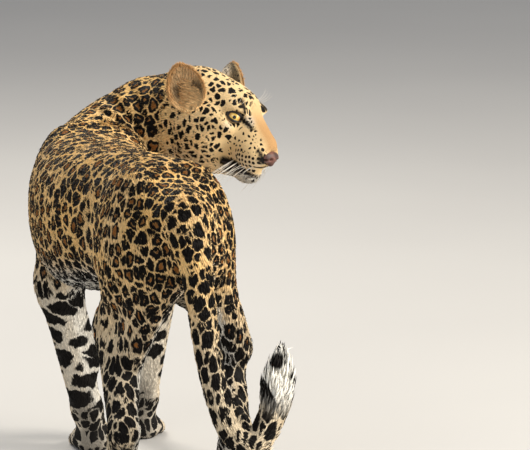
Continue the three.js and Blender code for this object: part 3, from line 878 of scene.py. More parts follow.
    def zones(self, s: Sites) -> tuple[Array, Array]:
        """Shares of each zone of colour and marking.

        Args:
            s: places on the skin.

        Returns:
            Rows of face, limb (on the head, muzzle), pale and bar, and rows of tip, tawny, dark and cream.
        """
        normals, share, local = s.normals, s.share, s.local
        x, y, z = local.T
        side = np.abs(y)
        head = share[:, 1]
        legs = share[:, 3:7].sum(1)
        height = s.points[:, 2]
        face = head * ramp(x, -40, 60)
        limb = np.maximum(legs * ramp(height, 360, 240), share[:, 2] * 0.6)
        limb = np.maximum(limb, head * ramp(x - 0.5 * z, 138, 150))
        socket = head * self.spot(local, *EAR_ROOT)
        under = ramp(-normals[:, 2], 0.25, 0.85)
        pale = share[:, 0] * under * ramp(s.along, 720, 640)
        for i, leg in enumerate(self.body.legs.values()):
            inner = -dots(normals, np.broadcast_to(leg.frame.left * leg.side, normals.shape))
            pale = pale + share[:, 3 + i] * ramp(inner, 0.2, 0.75) * ramp(height, 60, 140)
        chin = head * ramp(z, -29, -38) * ramp(x, 120, 160)
        pad = head * ramp(x, 150, 175) * ramp(z, 6, -12) * ramp(side, 6, 16)
        throat = head * ramp(-normals[:, 2], 0.2, 0.7) * ramp(x, 150, 60)
        brow = self.spot(local, (173, 24, 56), 12)
        below = self.spot(local, (148, 50, 39), 10)
        pale = np.clip(pale + chin + 0.35 * pad + 0.5 * throat + 0.6 * brow + 0.35 * below, 0, 1)
        fore = share[:, 3:5].sum(1)
        bar = fore * ramp(height, 330, 270) * ramp(height, 60, 110)
        bar = bar + head * ramp(x, 168, 176) * self.band(z)
        behind = -dots(normals, np.broadcast_to(self.body.shoulders.forward, normals.shape))
        pale = np.clip(pale + 0.6 * fore * ramp(behind, -0.1, 0.6) * ramp(height, 350, 290), 0, 1)
        tip = share[:, 2] * ramp(s.tail_at, 0.83, 0.9)
        bridge = 0.8 * head * ramp(side, 24, 10) * ramp(x, 140, 195) * ramp(z, 4, 22)
        tawny = np.maximum(bridge, 0.5 * socket)
        sole = ramp(-normals[:, 2], 0.45, 0.8) * ramp(height, 26, 14)
        # The soles are dark pads. The backs of the lower legs are painted dark, up to 0.6 of black, as
        # painted shade.
        heel = 0.6 * legs * ramp(height, 150, 90) * ramp(behind, 0.5, 0.9)
        dark = np.maximum(sole, heel)
        mirrored = np.stack([x, -side, z], 1)
        for mark in FACE_MARKS:
            dark = np.maximum(dark, head * mark.cover(mirrored))
        cream = head * ramp(x, -20, 70)
        return np.stack([face, limb, pale, bar], 1), np.stack([tip, tawny, dark, cream], 1)

    @staticmethod
    def band(z: Array) -> Array:
        """The heights of the whisker pad, in the head's frame."""
        return ramp(z, 8, 0) * ramp(z, -36, -31)

    @staticmethod
    def spot(local: Array, centre: Sequence[float], radius: float) -> Array:
        """A soft round patch on both sides of the head."""
        away = np.linalg.norm(np.abs(local * [0, 1, 0]) + local * [1, 0, 1] - np.array(centre), axis=1)
        return 1 - ramp(away, radius * 0.4, radius * 1.3)

    def unwrap(self, s: Sites) -> Array:
        """Places on a flat unwrap of the skin's own shape, each group rolled out round its own line.

        Args:
            s: places on the skin.

        Returns:
            Two coordinates from 0.02 to 0.98 for each point.
        """
        group, height = s.share.argmax(1), s.points[:, 2]
        x, y, z = s.local.T
        rows = [(Group.HEAD.value, (x + 70) / 320, np.arctan2(y, z - 20)),
                (Group.TAIL.value, s.tail_at, s.tail_angle)]
        for i, leg in enumerate(self.body.legs.values()):
            chain = np.array(leg.chain)[::-1]
            centre = np.stack([np.interp(height, chain[:, 2], chain[:, c]) for c in (0, 1)], 1)
            off = s.points[:, :2] - centre
            rows.append((3 + i, height / 640, np.arctan2(off[:, 1], off[:, 0])))
        u, angle = (s.along + 20) / 850, np.arctan2(s.q[:, 1], s.q[:, 2])
        for value, share, turn in rows:
            u, angle = np.where(group == value, share, u), np.where(group == value, turn, angle)
        return np.clip(np.stack([u, angle / (2 * math.pi) + 0.5], 1), 0, 1) * 0.96 + 0.02


# The streak from the eye's inner corner, the brow, the eye's outer corner, the patch at the mouth's corner,
# the line of the mouth, the wing of the nose, and painted shade inside the nostril.
FACE_MARKS = (
    Mark((157, -28, 54), (170, -25, 49), 4.2),
    Mark((170, -25, 49), (181, -23, 43), 3.2),
    Mark((146, -28, 86), (165, -33, 72), 3.2),
    Mark((138, -51, 57), (130, -54, 61), 2.0),
    Mark((146, -31, -26), (168, -29, -25), 9.5),
    Mark((150, -27, -37), (170, -25, -34), 6.0),
    Mark((168, -29, -26), (186, -24, -31), 6.0),
    Mark((186, -23, -32), (202, -8, -36), 3.2),
    Mark((207, -30, 13), (216, -25, 5), 3.6),
    # Painted shade inside the nostril: the skin under the nose leather is painted black behind its
    # openings.
    Mark((211, -2, 1), (213, -18, 0), 7.0),
    Mark((216, -11, -5), (214, -18, -4), 5.0),
)


@dataclass
class Ear:
    """An oval cup that opens ahead and outwards.

    At an angle a round the cup and t from its back, over the rim at 1, to its inner pole at 2, a point lies
    sin(pi t / 2) of the way out to the oval and cos(pi t / 2) of the depth behind the rim.
    """

    head: Frame
    side: int
    half_width: float = 33.0
    half_height: float = 42.0
    depth: float = 23.0
    wall: float = 4.2
    around: int = 72
    along: int = 14

    @property
    def middle(self) -> Array:
        """The middle of the rim."""
        return self.head.place(EAR_MIDDLE * [1, self.side, 1])

    def build(self) -> Shell:
        """The cup with values for its place round and along it."""
        left, up, ahead = self.head.left * self.side, self.head.up, self.head.forward
        opening = unit(0.38 * ahead + 0.92 * left + 0.05 * up)
        across = unit(np.cross(-0.42 * ahead + 0.33 * left + 0.85 * up, opening))
        rise = np.cross(opening, across)
        angle = np.linspace(0, 2 * math.pi, self.around, endpoint=False)[None, :, None]
        t = np.linspace(0.02, 1.98, 2 * self.along + 1)[:, None, None]
        reach = np.sin(math.pi / 2 * t)
        inner = ramp(t, 0.97, 1.03)
        rim = np.exp(-((t - 1) / 0.09) ** 2)
        depth = (self.depth - self.wall * inner) * np.abs(np.cos(math.pi / 2 * t))
        ridges = 0.9 * np.sin(angle * 7) * inner * (1 - reach)
        width = (self.half_width - 1.6 * inner * reach) * np.cos(angle) * (1 - 0.14 * np.sin(angle))
        height = (self.half_height - 1.6 * inner * reach) * np.sin(angle)
        drop = depth + 4 * np.abs(np.cos(angle)) * reach - 1.2 * rim + ridges
        points = self.middle - opening * drop + across * width * reach + rise * height * reach
        shell = capped(grid_shell(points, closed_rows=False), self.around)
        shape = points.shape[:2]
        shell.values = {"angle": np.append(spread(angle[..., 0], shape), [0, 0]),
                        "t": np.append(spread(t[..., 0], shape), [0, 2])}
        return shell.flipped if dots(shell.normals[-2], -opening) < 0 else shell


class Skin:
    """The one skin of the body and ears, with the coat's values at its points."""

    LOW = np.array([-300.0, -400.0, -25.0])
    HIGH = np.array([700.0, 240.0, 760.0])

    def __init__(self, body: Anatomy, spacing: float) -> None:
        self.body = body
        self.pelt = Pelt(body)
        self.spacing = spacing
        self.ears = [Ear(body.head, side) for side in (1, -1)]

    def lenses(self) -> list[Lens]:
        """Finer grids about the face and the paws."""
        head = self.body.head
        paws = [Lens(leg.paw.place((14, 0, 24)), 0.7, 70) for leg in self.body.legs.values()]
        return [Lens(head.place((150, -8, 22)), 0.33, 150), *paws]

    def build(self) -> Shell:
        """The skin of the body, then of both ears, as one mesh with its survey."""
        trunk = surface(self.pelt.skin_field, self.LOW, self.HIGH, self.spacing, self.lenses())
        LOG.info("skin: %d points", len(trunk.points))
        normals = trunk.normals
        trunk.values = self.pelt.survey(trunk.points, normals) | {"normal": normals}
        return Shell.merged([trunk, *(self.dress_ear(ear) for ear in self.ears)])

    def dress_ear(self, ear: Ear) -> Shell:
        """An ear with the coat's values: dark behind with a pale patch, tawny at the rim, pale within, and
        painted shade deep in the cup.

        Args:
            ear: the ear.

        Returns:
            Its mesh with the values.
        """
        shell, side = ear.build(), ear.side
        angle, t = shell.values["angle"], shell.values["t"]
        normals = shell.normals
        count = len(shell.points)
        values = self.pelt.survey(shell.points, normals)
        share = np.zeros((count, 8))
        share[:, Group.EAR.value] = 1
        rise = unit(ear.head.up + 0.3 * ear.head.left * side)
        outward = unit(shell.points - ear.middle)
        flow = rise + 0.9 * outward
        values["flow"] = unit(flow - normals * dots(flow, normals)[:, None])
        behind = ramp(t, 0.93, 0.8)
        patch = behind * ramp(np.hypot(t - 0.35, 0.3 * np.sin(angle - 1.6)), 0.34, 0.2)
        inside = ramp(t, 1.25, 1.5)
        zones = np.zeros((count, 4))
        zones[:, :2] = 1
        zones[:, 2] = np.clip(patch * 0.8 + 0.15 * inside, 0, 1)
        more = np.zeros((count, 4))
        # Painted shade: the deep lower part of the cup is painted dark.
        painted_pocket_shade = ramp(t, 1.3, 1.6) * ramp(np.sin(angle), 0.5, -0.4)
        more[:, 1] = 0.8 * ramp(t, 0.82, 0.95) * (1 - 0.6 * inside) * ramp(np.sin(angle), -1.3, -0.3)
        more[:, 2] = np.clip(behind * (1 - patch) * 0.9 + 0.75 * painted_pocket_shade, 0, 1)
        more[:, 3] = 1
        values["zones"], values["more"], values["share"] = zones, more, share
        values["unwrap"] = np.stack([angle / (2 * math.pi) * 0.94 + 0.03,
                                     (0.03 if side > 0 else 0.52) + 0.225 * t], 1)
        values["along"] = t
        shell.values = values | {"normal": normals}
        return shell


@dataclass(frozen=True)
class Hair:
    """Length, width and lift of the tufts at places on the skin."""

    length: Array
    width: Array
    lift: Array

    @classmethod
    def at(cls, points: Array, v: dict[str, Array]) -> "Hair":
        """The hair of each place.

        Args:
            points: places on the skin.
            v: the skin's values there.

        Returns:
            Lengths and widths in millimetres and lifts in radians.
        """
        share, normal = v["share"], v["normal"]
        x, y, z = v["skull"].T
        height = points[:, 2]
        under = ramp(-normal[:, 2], 0.3, 0.9)
        trunk = 12.5 + 9 * under
        cheek = ramp(x, 130, 70) * ramp(z, 50, 0)
        head = 12 - 5.0 * ramp(x, 10, 90) - 3.6 * ramp(x, 110, 175) + 5 * cheek
        head = head + 4.5 * ramp(z, -18, -40) * ramp(x, 110, 150) + 8 * Pelt.spot(v["skull"], *EAR_ROOT)
        tail = 15 + 12 * v["more"][:, 0]
        leg = 12 - 5.5 * ramp(height, 130, 50)
        behind = ramp(height, 260, 340) * 5
        leg_share = share[:, 3:7].sum(1)
        ear = np.where(v["along"] > 1.1, 13.0, 5.5)
        length = (share[:, 0] * trunk + share[:, 1] * head + share[:, 2] * tail
                  + leg_share * (leg + behind) + share[:, 7] * ear)
        width = 0.5 + 0.125 * length
        lift = 0.12 + 0.1 * under + 0.28 * v["more"][:, 0] * share[:, 2] + 0.12 * share[:, 1] * cheek
        lift = lift + 0.25 * share[:, 7] * (v["along"] > 1.1)
        return cls(length, width, lift)


class Coat:
    """Tufts of hair over the skin, each a closed three-sided blade of two lengths and a tip."""

    RINGS = np.array([(0, 2, 1), (0, 1, 4), (0, 4, 3), (1, 2, 5), (1, 5, 4), (2, 0, 3), (2, 3, 5),
                      (3, 4, 6), (4, 5, 6), (5, 3, 6)])
    LEG_THINNING = 0.27
    STRAY = 0.16
    SIZES = (0.72, 1.2)
    ROOT_DEPTH = 0.8
    FLOOR_GAP = 0.3
    PATCH = 0.003
    PATCH_SHAPE = np.array([(0, 0), (1, 0), (0.5, 0.25), (0.1, 0.55), (0.9, 0.55), (0.5, 0.7), (0.5, 1)])

    def __init__(self, skin: Shell, head: Frame, cover: float, seed: int = 7) -> None:
        self.skin = skin
        self.head = head
        self.cover = cover
        self.random = np.random.default_rng(seed)

    def roots(self) -> dict[str, Array]:
        """Places of the tufts, spread evenly over the skin in proportion to how small they are there.

        Returns:
            Points with all of the skin's values.
        """
        skin = self.skin
        corners = skin.points[skin.triangles]
        area = np.linalg.norm(np.cross(corners[:, 1] - corners[:, 0], corners[:, 2] - corners[:, 0]),
                              axis=1) / 2
        middle = {k: v[skin.triangles].mean(1) for k, v in skin.values.items()}
        hair = Hair.at(corners.mean(1), middle)
        legs = middle["share"][:, 3:7].sum(1)
        rate = self.cover * (1 - self.LEG_THINNING * legs) / (0.5 * hair.length * hair.width)
        bare = self.bare(middle, corners.mean(1))
        total = np.cumsum(area * rate * (1 - bare)) + self.random.random()
        count = np.diff(np.floor(total), prepend=0).astype(int)
        which = np.repeat(np.arange(len(area)), count)
        a, b = self.random.random((2, len(which)))
        fold = a + b > 1
        a[fold], b[fold] = 1 - a[fold], 1 - b[fold]
        weights = np.stack([1 - a - b, a, b], 1)
        index = skin.triangles[which]
        out = {k: np.einsum("nc,nc...->n...", weights, v[index]) for k, v in skin.values.items()}
        out["point"] = np.einsum("nc,nci->ni", weights, skin.points[index])
        return out

    @staticmethod
    def bare(v: dict[str, Array], points: Array) -> Array:
        """How bare the skin is: the soles, the nose and the eyes' sockets grow no hair."""
        sole = (v["normal"][:, 2] < -0.6) & (points[:, 2] < FLOOR_TRIM + 6)
        eye = np.linalg.norm(np.abs(v["skull"] * [0, 1, 0]) + v["skull"] * [1, 0, 1]
                             - np.array([151, 39, 55]), axis=1) < 17
        nose = np.linalg.norm((v["skull"] - np.array([216, 0, 2])) / [12, 17, 10], axis=1) < 1
        return (sole | eye | nose).astype(float)

    def build(self) -> dict[str, Shell]:
        """The tufts as meshes, told apart by the part of the body.

        Returns:
            Meshes by name, with the values that the coat's finish reads.
        """
        roots = self.roots()
        points, normal = roots["point"], unit(roots["normal"])
        hair = Hair.at(points, roots | {"normal": normal})
        flow = unit(roots["flow"] - normal * dots(roots["flow"], normal)[:, None])
        count = len(points)
        stray = self.random.normal(0, self.STRAY, count)[:, None]
        side = np.cross(normal, flow)
        flow = unit(flow + stray * side)
        side = np.cross(normal, flow)
        size = self.random.uniform(*self.SIZES, count)
        length, width = (hair.length * size)[:, None], (hair.width * size)[:, None]
        lift = (hair.lift + self.random.normal(0, 0.05, count))[:, None]
        first = flow * np.cos(lift) + normal * np.sin(lift)
        second = flow * np.cos(lift * 0.35) + normal * np.sin(lift * 0.35)
        start = points - normal * self.ROOT_DEPTH
        middle = start + first * length * 0.5
        tip = middle + second * length * 0.5
        high = normal * width * 0.32
        wide = side * width / 2
        rings = [start - wide * 0.8, start + wide * 0.8, start + high * 0.8, middle - wide, middle + wide,
                 middle + high, tip]
        blades = np.stack(rings, 1)
        blades[..., 2] = np.maximum(blades[..., 2], FLOOR_TRIM + self.FLOOR_GAP)
        lock = self.random.random(count)
        LOG.info("coat: %d tufts", count)
        shells = {}
        for name, chosen in self.split(roots, points).items():
            picked = np.flatnonzero(chosen)
            if not len(picked):
                continue
            n = len(picked)
            faces = (self.RINGS[None] + 7 * np.arange(n)[:, None, None]).reshape(-1, 3)
            values = {key: roots[key][picked].repeat(7, 0) for key in ("zones", "more")}
            place = blades[picked] + self.random.normal(0, 0.7, (n, 1, 3))
            values["pelt"] = Pelt.pattern(place.reshape(-1, 3))
            if "muzzle" in name:
                values["skull"] = self.head.local(place.reshape(-1, 3))
            along = np.tile([0, 0, 0, 0.5, 0.5, 0.5, 1.0], n)
            across = np.tile([-1, 1, 0, -1, 1, 0, 0], n)
            values["lock"] = np.stack([lock[picked].repeat(7), along, across], 1)
            patch = roots["unwrap"][picked][:, None] + (self.PATCH_SHAPE - 0.5) * self.PATCH
            values["OFBake"] = patch.reshape(-1, 2)
            shells[name] = Shell(blades[picked].reshape(-1, 3), faces, values)
        return shells

    @staticmethod
    def split(v: dict[str, Array], points: Array) -> dict[str, Array]:
        """Which tufts belong to which piece of the coat.

        Args:
            v: values at the roots.
            points: places of the roots.

        Returns:
            A mask for each piece by name.
        """
        group = v["share"].argmax(1)
        along, skull = v["along"], v["skull"]
        trunk, head = group == Group.TRUNK.value, group == Group.HEAD.value
        muzzle, left_face = head & (skull[:, 0] > 130), skull[:, 1] > 0
        parts = [("muzzle", muzzle, left_face), ("face", head & ~muzzle, left_face)]
        for name, low, high in (("rump", -1e9, 250), ("belly", 250, 430), ("chest", 430, 630),
                                ("neck", 630, 1e9)):
            parts.append((name, trunk & (along > low) & (along <= high), v["flank"] > 0))
        out = {}
        for name, part, left in parts:
            out |= {f"coat_{name}_left": part & left, f"coat_{name}_right": part & ~left}
        for own in (Group.TAIL, Group.FORELEG_LEFT, Group.FORELEG_RIGHT, Group.HINDLEG_LEFT,
                    Group.HINDLEG_RIGHT, Group.EAR):
            out[f"coat_{own.name.lower()}"] = group == own.value
        return out


@dataclass
class Eye:
    """An eyeball and the dark-rimmed lids round it, in a frame that looks out of the head.

    The opening is an almond: at an angle round the line of sight it spans one over the root of
    (cos / wide)^2 + (sin / tall)^2, drawn out to a point at the inner corner.
    """

    head: Frame
    side: int
    radius: float = EYE_RADIUS - 0.4
    wide: float = 50.0
    tall_above: float = 16.0
    tall_below: float = 25.0
    corner: float = 24.0

    @property
    def frame(self) -> Frame:
        """Forward is the line of sight and left is towards the inner corner, on both eyes."""
        head = self.head
        sight = unit(0.62 * head.forward + 0.78 * self.side * head.left + 0.06 * head.up)
        inner = unit(np.cross(head.up, sight)) * -self.side
        inner = unit(inner - 0.22 * head.up)
        inner = unit(inner - sight * (inner @ sight))
        centre = head.place(EYE_PLACE * [1, self.side, 1])
        return Frame(centre, sight, inner, np.cross(sight, inner) * self.side)

    def on_ball(self, polar: Array, angle: Array, radius: Array | float) -> Array:
        """Places at a polar angle from the line of sight, an angle round it and a radius."""
        f = self.frame
        polar, angle = np.broadcast_arrays(polar, angle)
        radius = np.broadcast_to(radius, polar.shape)
        return f.origin + (np.cos(polar)[..., None] * f.forward
                           + (np.sin(polar) * np.cos(angle))[..., None] * f.left
                           + (np.sin(polar) * np.sin(angle))[..., None] * f.up) * radius[..., None]

    def ball(self) -> Shell:
        """The eyeball, with the cornea's slight bulge and the polar angle as a value."""
        polar = np.radians(np.concatenate([np.linspace(0.3, 60, 61), np.linspace(63, 179.7, 40)]))[:, None]
        angle = np.linspace(0, 2 * math.pi, 96, endpoint=False)[None]
        bulge = 0.35 * np.exp(-((polar / 0.62) ** 4))
        points = self.on_ball(polar, angle, self.radius + bulge)
        shell = grid_shell(points, closed_rows=False)
        shape = points.shape[:2]
        ring, turn = spread(np.degrees(polar) / 90, shape), spread(angle, shape)
        shell.values = {"iris": np.stack([ring, np.cos(turn), np.sin(turn)], 1)}
        shell = capped(shell, angle.size)
        return shell if self.side > 0 else shell.flipped

    def lids(self) -> Shell:
        """A closed ring of lid round the opening, rounded at its dark edge and sunk into the skin."""
        angle = np.linspace(0, 2 * math.pi, 120, endpoint=False)[None]
        tall = np.where(np.sin(angle) > 0, self.tall_above, self.tall_below)
        opening = 1 / np.sqrt((np.cos(angle) / self.wide) ** 2 + (np.sin(angle) / tall) ** 2)
        opening = opening + self.corner * np.maximum(np.cos(angle), 0) ** 14
        out = np.array([0, 0, 2, 5, 9, 16, 28, 46, 46, 20, 4])[:, None]
        rise = np.array([0.1, 0.9, 1.7, 2.1, 2.3, 2.1, 0.6, -2.0, -4.0, -3.0, -1.2])[:, None]
        points = self.on_ball(np.radians(opening + out), angle, self.radius + rise)
        shell = grid_shell(points)
        shell.values = {"edge": spread(ramp(out, 26, 14), points.shape[:2])}
        return shell if self.side > 0 else shell.flipped


class Nose:
    """The nose leather: a rounded pad with wings, nostrils that curl out and back, and a groove below."""

    def __init__(self, head: Frame) -> None:
        self.head = head

    def field(self, points: Array) -> Array:
        """Signed distance of the leather."""
        own = self.head
        d = joined([(Oval(own, (213, 0, 4), (14, 16, 11)), 4), (Oval(own, (211, 12, 3), (12, 10, 9)), 5),
                    (Oval(own, (211, -12, 3), (12, 10, 9)), 5),
                    (Oval(own, (218, 0, -5), (7, 5.5, 7)), 4)], points)
        local = own.local(points)
        for side in (1, -1):
            for centre, radii in (((226, 9 * side, 2), (7, 3.6, 3.0)),
                                  ((219, 16.5 * side, 0), (8, 5, 1.7))):
                d = -smooth_min(-d, Oval(own, centre, radii).distance(points), 1.6)
        groove = np.hypot(local[:, 1], 0.25 * (local[:, 0] - 230)) - 0.9
        return -smooth_min(-d, np.where(local[:, 2] < 0, groove, 9.0), 1.0)

    def build(self) -> Shell:
        """The leather's surface."""
        centre = self.head.place((215, 0, 5))
        return surface(self.field, centre - 27, centre + 27, 1.15)


def strands(starts: Array, ends: Array, bend: Array, radii: Array, rings: int = 9, sides: int = 5) -> Shell:
    """Thin tapered hairs, each a tube along the parabola start + t (end - start) + 4 t (1 - t) bend.

    Args:
        starts: where each hair begins.
        ends: where it ends.
        bend: how far its middle is moved to the side.
        radii: its radius at the root.
        rings: sections along it.
        sides: sides of a section.

    Returns:
        The hairs as one mesh, closed at the root and the tip.
    """
    t = np.linspace(0, 1, rings)[None, :, None]
    path = starts[:, None] + t * (ends - starts)[:, None] + 4 * t * (1 - t) * bend[:, None]
    ahead = unit(np.gradient(path, axis=1))
    across = unit(np.cross(ahead, np.array([0.31, 0.22, 0.92])))
    other = np.cross(ahead, across)
    angle = np.linspace(0, 2 * math.pi, sides, endpoint=False)
    thin = radii[:, None, None] * (1 - 0.93 * t) * np.sin(np.minimum(t * 30 + 0.35, math.pi / 2))
    ring = (path[:, :, None] + thin[..., None] * (np.cos(angle)[None, None, :, None] * across[:, :, None]
                                                  + np.sin(angle)[None, None, :, None] * other[:, :, None]))
    return Shell.merged([capped(grid_shell(tube, closed_rows=False), sides).flipped for tube in ring])


class Whiskers:
    """Long white hairs from rows on the whisker pads, and a few above the eyes."""

    def __init__(self, body: Anatomy, seed: int = 3) -> None:
        self.head = body.head
        self.field = body.head_field
        self.random = np.random.default_rng(seed)

    def build(self) -> Shell:
        """All the whiskers as one mesh."""
        starts, ends, bends, radii = [], [], [], []
        for side in (1, -1):
            for row in range(3):
                for column in range(5):
                    root = np.array([200 - 8.5 * column - 3 * row, side * (22 + 2.4 * column),
                                     -17 - 5 * row])
                    root = root + self.random.normal(0, 0.7, 3)
                    length = (30 + 18 * column) * self.random.uniform(0.8, 1.12)
                    way = unit(np.array([-0.4, side * 0.5, -0.56 - 0.08 * row])
                               + self.random.normal(0, 0.06, 3))
                    starts.append(root)
                    ends.append(root + way * length)
                    bends.append(np.array([0.10, side * 0.13, 0.06]) * length)
                    radii.append(0.42 + 0.08 * column)
            for i in range(4):
                root = np.array([152 - 5 * i, side * (30 + 3 * i), 80])
                starts.append(root)
                ends.append(root + np.array([14 - 6 * i, side * (6 + 5 * i), 20.0]))
                bends.append(np.array([4.0, side * 2.0, 2.0]))
                radii.append(0.3)
        place = self.head.place
        starts = settled(self.field, place(np.array(starts)), 2.5)
        return strands(starts, place(np.array(ends)), np.array(bends) @ self.head.axes, np.array(radii))


class Pads:
    """The dark pads under the feet, which rest on the floor."""

    def __init__(self, body: Anatomy) -> None:
        self.body = body

    def build(self) -> Shell:
        """All the pads as one mesh of flattened balls."""
        shells = []
        for leg in self.body.legs.values():
            k = leg.size
            shells.append(self.pad(leg.paw.place((-2 * k, 0, 0)), 21 * k, 24 * k, leg.paw))
            for _, tip in leg.toes:
                centre = np.array([tip[0], tip[1], 0.0]) - leg.paw.forward * 4 * k
                shells.append(self.pad(centre, 12 * k, 9 * k, leg.paw))
        return Shell.merged(shells)

    @staticmethod
    def pad(centre: Array, ahead: float, across: float, own: Frame) -> Shell:
        """One pad, a ball flattened to 12 mm with its lowest stretch on the floor."""
        polar = np.linspace(0.02, math.pi - 0.02, 20)[:, None, None]
        angle = np.linspace(0, 2 * math.pi, 32, endpoint=False)[None, :, None]
        height = np.maximum(np.cos(polar) * 6.5 + 5.5, 0) + FLOOR_TRIM
        points = (centre + np.sin(polar) * (np.cos(angle) * ahead * own.forward
                                            + np.sin(angle) * across * own.left)) + height * UP
        return capped(grid_shell(points, closed_rows=False), angle.size)


def lip_line(body: Anatomy, side: int) -> Array:
    """The line where the lips meet, from below the nose to the corner of the mouth, on the skin."""
    line = Profile([(0, 219, 1, -10), (0.15, 212, 5, -22), (0.35, 203, 10, -30), (0.6, 188, 20, -35),
                    (0.85, 160, 28, -30), (1, 140, 33, -28)])(np.linspace(0, 1, 60))
    return settled(body.head_field, body.head.place(line * [1, side, 1]), 2.2)


class Lips:
    """Dark lips, a slim roll along the line of the closed mouth that widens towards its corners."""

    def __init__(self, body: Anatomy) -> None:
        self.body = body

    def build(self) -> Shell:
        """Both sides as one mesh."""
        shells = []
        for side in (1, -1):
            path = lip_line(self.body, side)
            t = np.linspace(0, 1, len(path))
            girth = (1.1 + 2.3 * ramp(t, 0.35, 0.85)) * np.sin(np.minimum(t * 12 + 0.1, math.pi / 2))
            girth = girth * np.sin(np.minimum((1 - t) * 9 + 0.1, math.pi / 2))
            ahead = unit(np.gradient(path, axis=0))
            out = unit(gradient(self.body.head_field, path))
            down = np.cross(ahead, out) * side
            angle = np.linspace(0, 2 * math.pi, 12, endpoint=False)
            turn = (np.cos(angle)[None, :, None] * out[:, None] * 0.7
                    + np.sin(angle)[None, :, None] * down[:, None] * 1.25)
            ring = path[:, None] + girth[:, None, None] * turn
            shell = capped(grid_shell(ring, closed_rows=False), len(angle))
            shells.append(shell if side < 0 else shell.flipped)
        return Shell.merged(shells)


class Claws:
    """Curved claws, drawn back so that only their tips show between the toes' hair."""

    def __init__(self, body: Anatomy) -> None:
        self.body = body

    def build(self) -> Shell:
        """All the claws as one mesh: tapered tubes along a curve that drops ahead of each toe."""
        starts, ends = [], []
        for leg in self.body.legs.values():
            for root, tip in leg.toes:
                ahead = unit((tip - root) * [1, 1, 0])
                starts.append(tip + ahead * 9 + UP * 6)
                ends.append(tip + ahead * 18.5 - UP * 6)
        starts, ends = np.array(starts), np.array(ends)
        bend = np.tile(UP * 2.6, (len(starts), 1)) + 0.12 * (ends - starts)
        return strands(starts, ends, bend, np.full(len(starts), 2.3), rings=10, sides=10)


Entry = "Value | float | Sequence[float]"


class Value:
    """A socket of a shader. Arithmetic on it adds Math nodes."""

    def __init__(self, nodes: "Nodes", socket: bpy.types.NodeSocket) -> None:
        self.nodes = nodes
        self.socket = socket

    def math(self, operation: str, a: Entry, b: Entry = 0.0) -> "Value":
        """A Math node on two entries."""
        return self.nodes.add("ShaderNodeMath", {"operation": operation}, {0: a, 1: b})

    def other(self, name: str) -> "Value":
        """Another output of the same node."""
        return Value(self.nodes, self.socket.node.outputs[name])

    def __add__(self, other: Entry) -> "Value":
        """The sum."""
        return self.math("ADD", self, other)

    def __radd__(self, other: Entry) -> "Value":
        """The sum, with the number first."""
        return self.math("ADD", other, self)

    def __sub__(self, other: Entry) -> "Value":
        """The difference."""
        return self.math("SUBTRACT", self, other)

    def __rsub__(self, other: Entry) -> "Value":
        """The difference, with the number first."""
        return self.math("SUBTRACT", other, self)

    def __mul__(self, other: Entry) -> "Value":
        """The product."""
        return self.math("MULTIPLY", self, other)

    def __rmul__(self, other: Entry) -> "Value":
        """The product, with the number first."""
        return self.math("MULTIPLY", other, self)

    def above(self, other: Entry) -> "Value":
        """The higher of the two."""
        return self.math("MAXIMUM", self, other)


